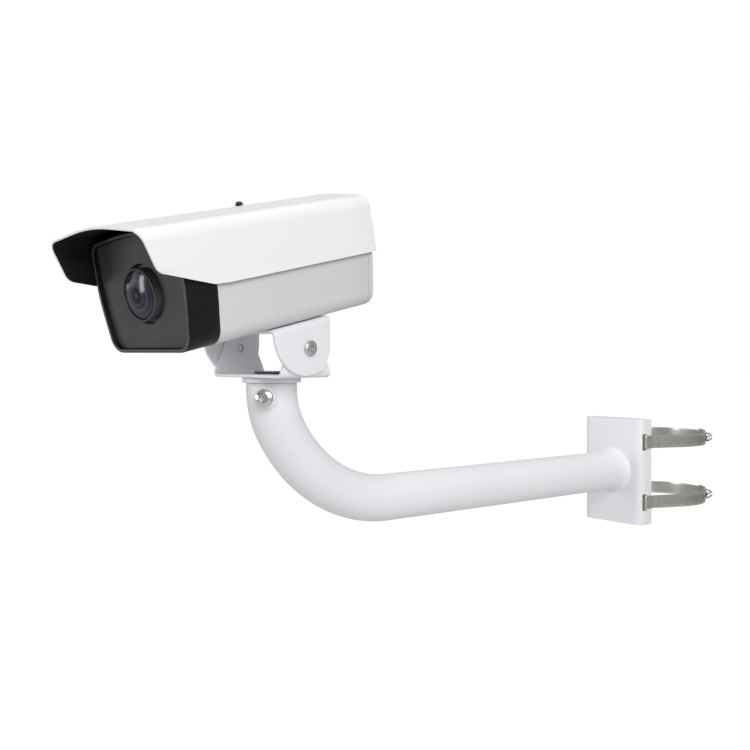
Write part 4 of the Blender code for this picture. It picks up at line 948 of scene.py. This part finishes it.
def panParts():
    look = bracketLook
    bore, thread, flange, spigot = 0.0065, look["thread"], look["flange"], look["spigot"]
    low = armLook["top"] + look["gap"]
    top = low + look["flangeSheet"]
    stub = look["sheet"] + 2 * look["gap"] + look["nut"]
    profile = roundedProfile([(bore, top + stub - 0.0004, 0), (bore + 0.0004, top + stub, 0),
                              (thread - 0.0005, top + stub, 0), (thread, top + stub - 0.0005, 0), (thread, top, 0),
                              (flange, top, 0.0009), (flange, low, 0.0007), (spigot, low, 0),
                              (spigot, low - 0.0165, 0.0008), (bore, low - 0.0165, 0)])
    grid = turnedGrid(profile, 96)
    placeMesh(gridMesh("panSpigot", inPan(grid), wrapRows=True), "pan_yoke", powderWhite,
              ("pan_spigot",), 30.0)
    base = top + look["gap"] + look["sheet"] + look["gap"]
    inner, apothem, sheet = thread + look["gap"], look["nutAcross"] / 2, look["nut"]
    rows = [(inner, base, 0), (apothem * 1.04, base, 1), (apothem, base + 0.0004, 2),
            (apothem, base + sheet - 0.0004, 2), (apothem * 1.04, base + sheet, 1),
            (inner + 0.0003, base + sheet, 0), (inner, base + sheet - 0.0003, 0)]
    kinds = np.array([row[2] for row in rows])

    def wobble(angles, row):  # hexagon sides, their corners turned off round at both faces
        kind = kinds[row]
        full = hexScale(angles)
        return np.where(kind == 2, full, np.where(kind == 1, np.minimum(full, 1.03), 1.0))

    nut = gridMesh("spigotNut", inPan(turnedGrid([row[:2] for row in rows], 96, wobble)), wrapRows=True)
    placeMesh(nut, "pan_yoke", darkSteel, ("spigot_nut",), 30.0)
    seat = look["yokeWidth"] / 2 + look["gap"] + look["sheet"] + look["gap"]
    for side, name in ((1, "near"), (-1, "far")):
        socketScrew("tiltBolt" + name.capitalize(), tiltCentre + acrossAxis * side * seat, acrossAxis * side,
                    look["bolt"], "pan_yoke", boltSteel, ("tilt_bolt_" + name,))


lowerYoke()
upperBracket()
panParts()
print("pan and tilt bracket made")


# housing
def housingSection(spacing=0.003):  # anticlockwise, heights from the tilt axis
    look = housingLook
    right = [look["base"], look["waist"], look["eaves"]]
    corners = right + [look["crown"]] + [(-x, y, r) for x, y, r in right[::-1]]
    points, normals = roundedOutline(corners, arcStep=4.5, spacing=spacing)
    return points + [0, look["floor"]], normals


def carriedSection(name, profile, capped=False):
    # section moved inwards by the profile's inset and forwards by its station
    points, normals = housingSection()
    grid = insetRings(points, normals, *np.array(profile).T)
    return gridMesh(name, inHead(grid), wrapRows=not capped, capRows=capped)


def closedProfile(corners):  # (inset, station, rounding) corners of a ring's cross-section
    return roundedOutline(corners, arcStep=30.0, spacing=0.03)[0]


def housingShell():
    look = housingLook
    collarRear = look["front"] - look["collar"]
    shellRear = -look["rear"] + look["cover"] + look["seal"] + 0.0006
    shellFront = collarRear - 0.0003
    edge = 0.0004
    profile = closedProfile([(0, shellRear, edge), (0, shellFront, edge), (look["wall"], shellFront, edge),
                             (look["wall"], shellRear, edge)])
    placeMesh(carriedSection("bodyShell", profile), "housing", housingGrey, ("body_shell",),
              40.0)
    rear, face = -look["rear"], -look["rear"] + look["cover"]
    soft = 0.0022
    lipEnd = shellRear - 0.00012
    lean = np.linspace(0, math.pi / 2, 6)
    recess = [(0.0085, rear + 0.0009), (0.0079, rear + 0.0008), (0.0074, rear + 0.0001), (0.0070, rear)]
    rim = [(soft * (1 - math.sin(a)), rear + soft * (1 - math.cos(a))) for a in lean]
    cover = carriedSection("rearCover", recess + rim + [(0.0, lipEnd), (0.00035, lipEnd), (0.00035, face)], True)
    placeMesh(cover, "housing", housingGrey, ("rear_cover",), 30.0)

    lip = look["wall"] + 0.0003
    ledge = lip + 0.0016
    rimInset = look["rim"]
    recessAt = look["front"] - look["recess"] - look["window"] - look["seal"] - 0.0006
    collar = carriedSection("frontCollar", closedProfile([
        (0, collarRear, 0.0003), (0, look["front"], 0.0008), (rimInset, look["front"], 0.0004),
        (rimInset, recessAt, 0.0002), (ledge, recessAt, 0.0003), (ledge, collarRear - 0.006, 0.0003),
        (lip, collarRear - 0.006, 0.0003), (lip, collarRear, 0.0001)]))
    collar = placeMesh(collar, "housing", [collarBlack, rimPaintedHighlightGrey], ("front_bezel",), 30.0)
    # the front faces of the rim are the greyer plastic, a painted highlight for the light the rim's front catches
    facing = polygonRows(collar.data, "normal") @ forwardAxis
    ahead = (polygonRows(collar.data, "center") - tiltCentre) @ forwardAxis
    rimHighlightFaces = (facing > 0.35) & (ahead > look["front"] - 0.001)
    collar.data.polygons.foreach_set("material_index", rimHighlightFaces.astype(np.int32))


lensCentre = housingLook["floor"] + lensLook["rise"]


def frontWindow():
    # outline to lens hole: each outline point slides straight to the circle at the same angle from the lens
    look = housingLook
    points, normals = housingSection(spacing=0.002)
    inset = look["rim"] + 0.0001
    edge = 0.0004
    sheet = look["window"]
    front = look["front"] - look["recess"]
    middle = np.array([0.0, lensCentre])
    inner = points - normals * (inset + edge)
    angles = np.arctan2(inner[:, 1] - middle[1], inner[:, 0] - middle[0])
    ring = middle + (lensLook["radius"] + 0.0003) * np.stack([np.cos(angles), np.sin(angles)], 1)
    rows = [(points - normals * (inset + drawn), station)
            for drawn, station in ((0.0003, front - sheet), (0.0, front - sheet + 0.0003), (0.0, front - edge),
                                   (edge * 0.3, front - edge * 0.3))] + [(inner, front)]
    for part in np.linspace(0, 1, 9)[1:-1]:
        rows.append((inner + (ring - inner) * part, front))
    outward = (ring - middle) / np.linalg.norm(ring - middle, axis=1)[:, None]
    rows += [(ring + outward * 0.0003, front), (ring, front - 0.0003), (ring, front - sheet),
             (ring + (inner - ring) * 0.5, front - sheet)]
    grid = np.stack([np.insert(flat, 1, station, axis=1) for flat, station in rows])
    placeMesh(gridMesh("frontWindow", inHead(grid), wrapRows=True), "housing", smokedWindow,
              ("front_window",), 20.0)


def lensGroup():
    look = lensLook
    face = inHead(np.array([0.0, housingLook["front"] - housingLook["recess"], lensCentre]))
    nose, glass, barrel, reach, back = look["nose"], look["glass"], look["barrel"], look["reach"], look["back"]
    seat = glass + 0.0003
    # front ring: flange in the window's hole, nose standing out of it, seat for the front glass
    ring = roundedProfile([(look["radius"], look["rear"], 0), (look["radius"], -look["step"], 0.0003),
                           (nose, -look["step"], 0.0002), (nose, reach, 0.0006),
                           (seat + 0.0003, reach - 0.0002, 0.0002),
                           (seat, reach - 0.0014, 0.0002), (seat, back - 0.0003, 0),
                           (barrel + 0.0003, back - 0.0003, 0), (barrel + 0.0003, look["rear"], 0)])
    placeMesh(turned("lensRing", ring, 128, face, forwardAxis), "housing", noseGrey,
              ("lens_ring",), 25.0)
    # front element: spherical cap, meniscus back
    sphere = (glass ** 2 + look["bulge"] ** 2) / (2 * look["bulge"])
    sweep = math.asin(glass / sphere) * np.linspace(0, 1, 25)
    dome = np.stack([sphere * np.sin(sweep), look["edge"] + look["bulge"] - sphere * (1 - np.cos(sweep))], 1)
    backSphere = sphere * 1.5
    backSweep = math.asin(glass / backSphere) * np.linspace(1, 0, 20)
    rearFace = np.stack([backSphere * np.sin(backSweep),
                         back + backSphere * (np.cos(backSweep) - math.cos(backSweep[0]))], 1)
    placeMesh(turned("lensFrontGlass", np.concatenate([dome, rearFace]), 96, face, forwardAxis, wrap=False),
              "housing", frontLensGlass, ("lens_front_glass",), 40.0)
    # second element: a steeper cap in the barrel's waist
    inner, curve, apex = look["second"], look["barrel"], back - 0.0045
    second = math.asin(inner / curve) * np.linspace(0, 1, 16)
    cap = np.stack([curve * np.sin(second), apex - curve * (1 - np.cos(second))], 1)
    cap = np.concatenate([cap, [(inner, apex - 0.007), (0, apex - 0.007)]])
    placeMesh(turned("lensSecondGlass", cap, 72, face, forwardAxis, wrap=False), "housing",
              innerLensGlass, ("lens_rear_glass",), 40.0)
    # barrel: fine baffle steps from its front down to the second element's seat
    tube = barrel - 0.002
    front, waist = back - 0.0006, inner + 0.0002
    baffles = []
    for step in np.linspace(0, 1, 7)[:-1]:
        r = barrel - 0.0006 - (barrel - 0.0008 - waist) * step
        z = front - (front - apex + 0.003) * step
        baffles += [(r, z, 0), (r - 0.0003, z - 0.0001, 0)]
    profile = roundedProfile([(barrel, -0.044, 0.0004), (barrel, front, 0.0002)] + baffles
                             + [(waist, apex - 0.0033, 0), (waist, apex - 0.0075, 0), (tube, apex - 0.0078, 0),
                                (tube, -0.044, 0.0002)])
    placeMesh(turned("lensBarrel", profile, 96, face, forwardAxis), "housing", lensBlack,
              ("lens_barrel",), 30.0)


def sealsAndBack():
    look = housingLook
    rear = -look["rear"]
    coverBack = inHead(np.array([0.0, rear, look["floor"] + 0.026]))
    backwards = -forwardAxis
    bore, body = 0.0042, 0.0115
    # gland: hexagonal flange, then the ribbed cap, both turned with a scaled radius
    flangeRows = [(bore, 0.0003), (body * 0.97, 0.0003), (body, 0.0007), (body, 0.0039), (body * 0.97, 0.0043),
                  (0.0078, 0.0043), (0.0078, 0.0090), (bore, 0.0090)]

    def hexFlange(angles, row):
        return np.where((row >= 1) & (row <= 4), np.minimum(hexScale(angles), 1.09), 1.0)

    placeMesh(turned("glandFlange", flangeRows, 96, coverBack, backwards, hexFlange), "housing",
              fittingBlack, ("gland_body",), 30.0)
    cap = roundedProfile([(0.0081, 0.0046, 0), (0.0108, 0.0046, 0.0003), (0.0108, 0.0115, 0.0012),
                          (0.0076, 0.0165, 0.0010), (bore + 0.0004, 0.0168, 0.0003), (bore, 0.0160, 0),
                          (bore, 0.0128, 0), (0.0081, 0.0128, 0)])

    def ribs(angles, row):  # twelve shallow grip flutes on the cap's side
        flute = 1.0 - 0.045 * (0.5 + 0.5 * np.cos(12 * angles)) ** 3
        return np.where((row >= 1) & (row <= 9), flute, 1.0)

    placeMesh(turned("glandCap", cap, 144, coverBack, backwards, ribs), "housing", fittingBlack,
              ("gland_cap",), 35.0)
    low = look["floor"] + look["wall"] + 0.0034
    high = look["floor"] + look["eaves"][1] - look["eaves"][2] * 0.55
    lowHalf = look["base"][0] - look["base"][2]
    highHalf = look["eaves"][0] - look["wall"] - 0.0032
    for name, x, u in (("low_near", lowHalf, low), ("low_far", -lowHalf, low), ("high_near", highHalf, high),
                       ("high_far", -highHalf, high)):
        title = "coverScrew" + "".join(part.capitalize() for part in name.split("_"))
        socketScrew(title, inHead(np.array([x, rear - 0.0003, u])), backwards,
                    {"head": 0.0029, "rise": 0.0024, "shank": 0.0015, "length": 0.013, "socket": 0.0011},
                    "housing", boltSteel, ("cover_screw_" + name,))


housingShell()
frontWindow()
lensGroup()
sealsAndBack()
print("housing made")


# sun shield

shieldLook = {"sheet": 0.0017, "sideAir": 0.0015, "topAir": 0.0052, "front": 0.1345, "skirt": 0.040,
              "tip": 0.082, "cheek": 0.126, "cheekRise": 0.0545, "travel": 0.008, "screwAt": 0.0085,
              "screw": 0.002, "washer": 0.0034, "washerSheet": 0.0006, "head": 0.0029, "headRise": 0.0020,
              "railReach": 0.022}


def sunShield():
    # arch point s, station from rear to front(height); both faces a sheet apart, rims rounded
    look, body = shieldLook, housingLook
    floor = body["floor"]
    outerHalf = body["waist"][0] + look["sideAir"] + look["sheet"]
    eavesHalf = body["eaves"][0] + look["sideAir"] + look["sheet"] + 0.0006
    foot = floor + look["skirt"] - 0.01
    eaves = floor + body["eaves"][1] + look["topAir"] + look["sheet"] * 0.6
    crown = floor + body["crown"][1] + look["topAir"] + look["sheet"]
    skirt = floor + look["skirt"]
    footHalf = outerHalf + (eavesHalf - outerHalf) * (skirt - foot) / (eaves - foot)
    soft = body["eaves"][2] + 0.001
    outline, normals = roundedOutline([(footHalf, skirt, 0), (eavesHalf, eaves, soft),
                                       (0, crown, body["crown"][2]), (-eavesHalf, eaves, soft),
                                       (-footHalf, skirt, 0)], closed=False, arcStep=3.0, spacing=0.0007)
    crownInside = crown - look["sheet"]
    cheek = floor + look["cheekRise"]
    edge, _ = roundedOutline([(look["tip"] - 0.01, skirt, 0), (look["tip"], skirt, 0.004),
                              (look["cheek"], cheek, 0.009), (look["front"], crownInside - 0.006, 0.002),
                              (look["front"], crown + 0.01, 0)], closed=False, arcStep=3.0, spacing=0.0005)
    front = np.interp(outline[:, 1], *climbing(edge))
    rear = np.full(len(outline), -body["rear"])
    mesh = foldedSheet("sunShield", outline, normals, rear, front, look["sheet"], inHead)
    slotHalf = look["screw"] + 0.0003
    low, high = look["screwAt"] - look["travel"] - slotHalf, look["screwAt"] + look["travel"] + slotHalf
    slot, _ = oblong(-slotHalf, slotHalf, low, high, slotHalf * 0.98, arcStep=15.0)
    cutter = blockMesh("slot", slot, crown - 0.01, crown + 0.01, inHead)
    mesh = cutAway(mesh, [cutter])
    mesh.materials.clear()
    placeMesh(mesh, "shield", [shieldWhite, shieldBlack], ("sun_shield",), 30.0)
    # the sides that look towards the housing's middle are the black inside
    centres, facing = polygonRows(mesh, "center"), polygonRows(mesh, "normal")
    middle = tiltCentre + upAxis * (floor + 0.030)
    across = centres - middle
    across = across - (across @ forwardAxis)[:, None] * forwardAxis
    flat = facing - (facing @ forwardAxis)[:, None] * forwardAxis
    inside = (across * flat).sum(1) < 0
    inside &= (np.linalg.norm(flat, axis=1) > 0.9) & (np.abs(facing @ forwardAxis) < 0.5)
    mesh.polygons.foreach_set("material_index", inside.astype(np.int32))


def shieldFixing():
    look, body = shieldLook, housingLook
    # the crown's rounding drops its middle by radius (1 / cos(slope) - 1)
    slope = math.atan2(body["crown"][1] - body["eaves"][1], body["eaves"][0])
    sag = body["crown"][2] * (1 / math.cos(slope) - 1)
    crown = body["floor"] + body["crown"][1] + look["topAir"]
    top = crown + look["sheet"] - sag + 0.0003
    roof = body["floor"] + body["crown"][1] - sag
    at = inHead(np.array([0.0, look["screwAt"], top]))
    hole, rim, thick = look["screw"] + 0.0003, look["washer"], look["washerSheet"]
    washer = roundedProfile([(hole, 0, 0), (rim, 0, 0.0001), (rim, thick, 0.0002), (hole, thick, 0.0001)])
    placeMesh(turned("shieldWasher", washer, 64, at, upAxis), "housing", lensBlack,
              ("shield_washer",), 30.0)
    socketScrew("shieldScrew", at + upAxis * (thick + 0.0003), upAxis,
                {"head": look["head"], "rise": look["headRise"], "shank": look["screw"], "length": 0.0075,
                 "socket": 0.0010, "crown": 0.7},
                "housing", lensBlack, ("shield_screw",))
    high = crown - sag - 0.0006
    rail, normals = roundedOutline([(-0.009, roof + 0.0003, 0.0004), (0.009, roof + 0.0003, 0.0004),
                                    (0.009, high, 0.0008), (-0.009, high, 0.0008)])
    reach = look["railReach"]
    stations = np.array([-reach, -reach + 0.0004, reach - 0.0004, reach]) + look["screwAt"]
    grid = insetRings(rail, normals, [0.0004, 0.0, 0.0, 0.0004], stations)
    placeMesh(gridMesh("shieldRail", inHead(grid), capRows=True), "housing", fittingBlack,
              ("shield_rail",), 30.0)


sunShield()
shieldFixing()
print("sun shield made")


# carried-over parts

carriedFinishes = {
    "rear_seal": sealRubber, "window_seal": sealRubber, "gland_seal": sealRubber, "gland_nut": fittingBlack,
    "lens_holder": fittingBlack, "ir_cut_guide": fittingBlack, "ir_cut_filter": filterGlass,
    "image_sensor": sensorDie, "sensor_board": boardGreen, "ir_led_board": boardGreen, "main_board": boardGreen,
    "ir_led_near_low": ledResin, "ir_led_near_high": ledResin, "ir_led_far_low": ledResin,
    "ir_led_far_high": ledResin, "chassis_tray": bareAluminium, "heat_sink": bareAluminium,
    "board_post_near_front": bareAluminium, "board_post_far_front": bareAluminium,
    "board_post_near_rear": bareAluminium, "board_post_far_rear": bareAluminium,
}
for nodeName, finish in carriedFinishes.items():
    node = frame["nodes"][nodeName]
    node.data.materials.clear()
    node.data.materials.append(finish)
print("carried-over parts finished:", len(carriedFinishes))


# floor, light and camera

stageLook = {"floor": -0.62, "floorSize": 30.0, "world": 0.42, "glow": 0.10, "seenGlow": 1.2, "seenShare": 0.8,
             "key": 24.0, "top": 9.0, "fill": 3.8, "card": 5.0}
camera = {"place": (0.629, -0.841, 0.120), "turn": 50.7, "lens": 48.0, "shift": -0.0324}


def makeStage():
    size = stageLook["floorSize"]
    mesh = bpy.data.meshes.new("floor")
    corners = [(-size, -size, 0), (size, -size, 0), (size, size, 0), (-size, size, 0)]
    mesh.from_pydata(corners, [], [(0, 1, 2, 3)])
    floor = bpy.data.objects.new("floor", mesh)
    floor.location.z = stageLook["floor"]
    bpy.context.scene.collection.objects.link(floor)
    finish = Finish("paleFloor")
    tone = finish.noise(1.5, 3.0)
    pale = finish.blend(tone, rgb(0.58, 0.58, 0.58), rgb(0.62, 0.62, 0.62))
    mesh.materials.append(finish.drive(Base_Color=pale, Roughness=0.9, Specular_IOR_Level=0.1,
                                       Emission_Color=rgb(1, 1, 1), Emission_Strength=stageLook["glow"]))
    nodes, links = finish.tree.nodes, finish.tree.links
    white = nodes.new("ShaderNodeEmission")
    white.inputs["Strength"].default_value = stageLook["seenGlow"]
    seenBy = nodes.new("ShaderNodeLightPath")
    blend = nodes.new("ShaderNodeMixShader")
    share = nodes.new("ShaderNodeMath")
    share.operation = "MULTIPLY"
    share.inputs[1].default_value = stageLook["seenShare"]
    links.new(seenBy.outputs["Is Camera Ray"], share.inputs[0])
    links.new(share.outputs[0], blend.inputs[0])
    links.new(nodes["Principled BSDF"].outputs[0], blend.inputs[1])
    links.new(white.outputs[0], blend.inputs[2])
    links.new(blend.outputs[0], nodes["Material Output"].inputs["Surface"])
    world = bpy.data.worlds.new("softRoom")
    bpy.context.scene.world = world
    world.use_nodes = True
    tree = world.node_tree
    background = tree.nodes["Background"]
    background.inputs["Color"].default_value = rgb(1, 1, 1)
    background.inputs["Strength"].default_value = stageLook["world"]
    seen = tree.nodes.new("ShaderNodeBackground")
    seen.inputs["Color"].default_value = rgb(1, 1, 1)
    seen.inputs["Strength"].default_value = 1.0
    rays = tree.nodes.new("ShaderNodeLightPath")
    mix = tree.nodes.new("ShaderNodeMixShader")
    tree.links.new(rays.outputs["Is Camera Ray"], mix.inputs[0])
    tree.links.new(background.outputs[0], mix.inputs[1])
    tree.links.new(seen.outputs[0], mix.inputs[2])
    tree.links.new(mix.outputs[0], tree.nodes["World Output"].inputs["Surface"])


def softBox(name, place, target, size, power):
    data = bpy.data.lights.new(name, "AREA")
    data.shape = "RECTANGLE"
    data.size, data.size_y = size
    data.energy = power
    lamp = bpy.data.objects.new(name, data)
    bpy.context.scene.collection.objects.link(lamp)
    place, target = np.array(place), np.array(target)
    away = place - target
    away = away / np.linalg.norm(away)
    lamp.location = place
    lamp.rotation_euler = (math.acos(away[2]), 0.0, math.atan2(away[1], away[0]) + math.pi / 2)


def makeCamera():
    data = bpy.data.cameras.new("view")
    data.lens = camera["lens"]
    data.sensor_width = 36.0
    data.shift_y = camera["shift"]
    data.clip_start, data.clip_end = 0.01, 200.0
    made = bpy.data.objects.new("view", data)
    made.location = camera["place"]
    made.rotation_euler = (math.radians(90), 0.0, math.radians(camera["turn"]))
    bpy.context.scene.collection.objects.link(made)
    bpy.context.scene.camera = made


makeStage()
middle = (0.0, -0.30, 0.08)
softBox("keyLight", (1.65, -0.9, 0.85), middle, (1.2, 1.2), stageLook["key"])
softBox("topLight", (-0.2, -0.3, 1.7), middle, (1.6, 1.6), stageLook["top"])
softBox("fillLight", (-1.5, -1.3, 0.7), middle, (1.4, 1.2), stageLook["fill"])
softBox("lensCard", (-0.78, -1.95, 0.16), (0.0, -0.54, 0.16), (0.28, 0.55), stageLook["card"])
makeCamera()
bpy.context.scene.view_settings.view_transform = "Standard"
print("stage and camera made")
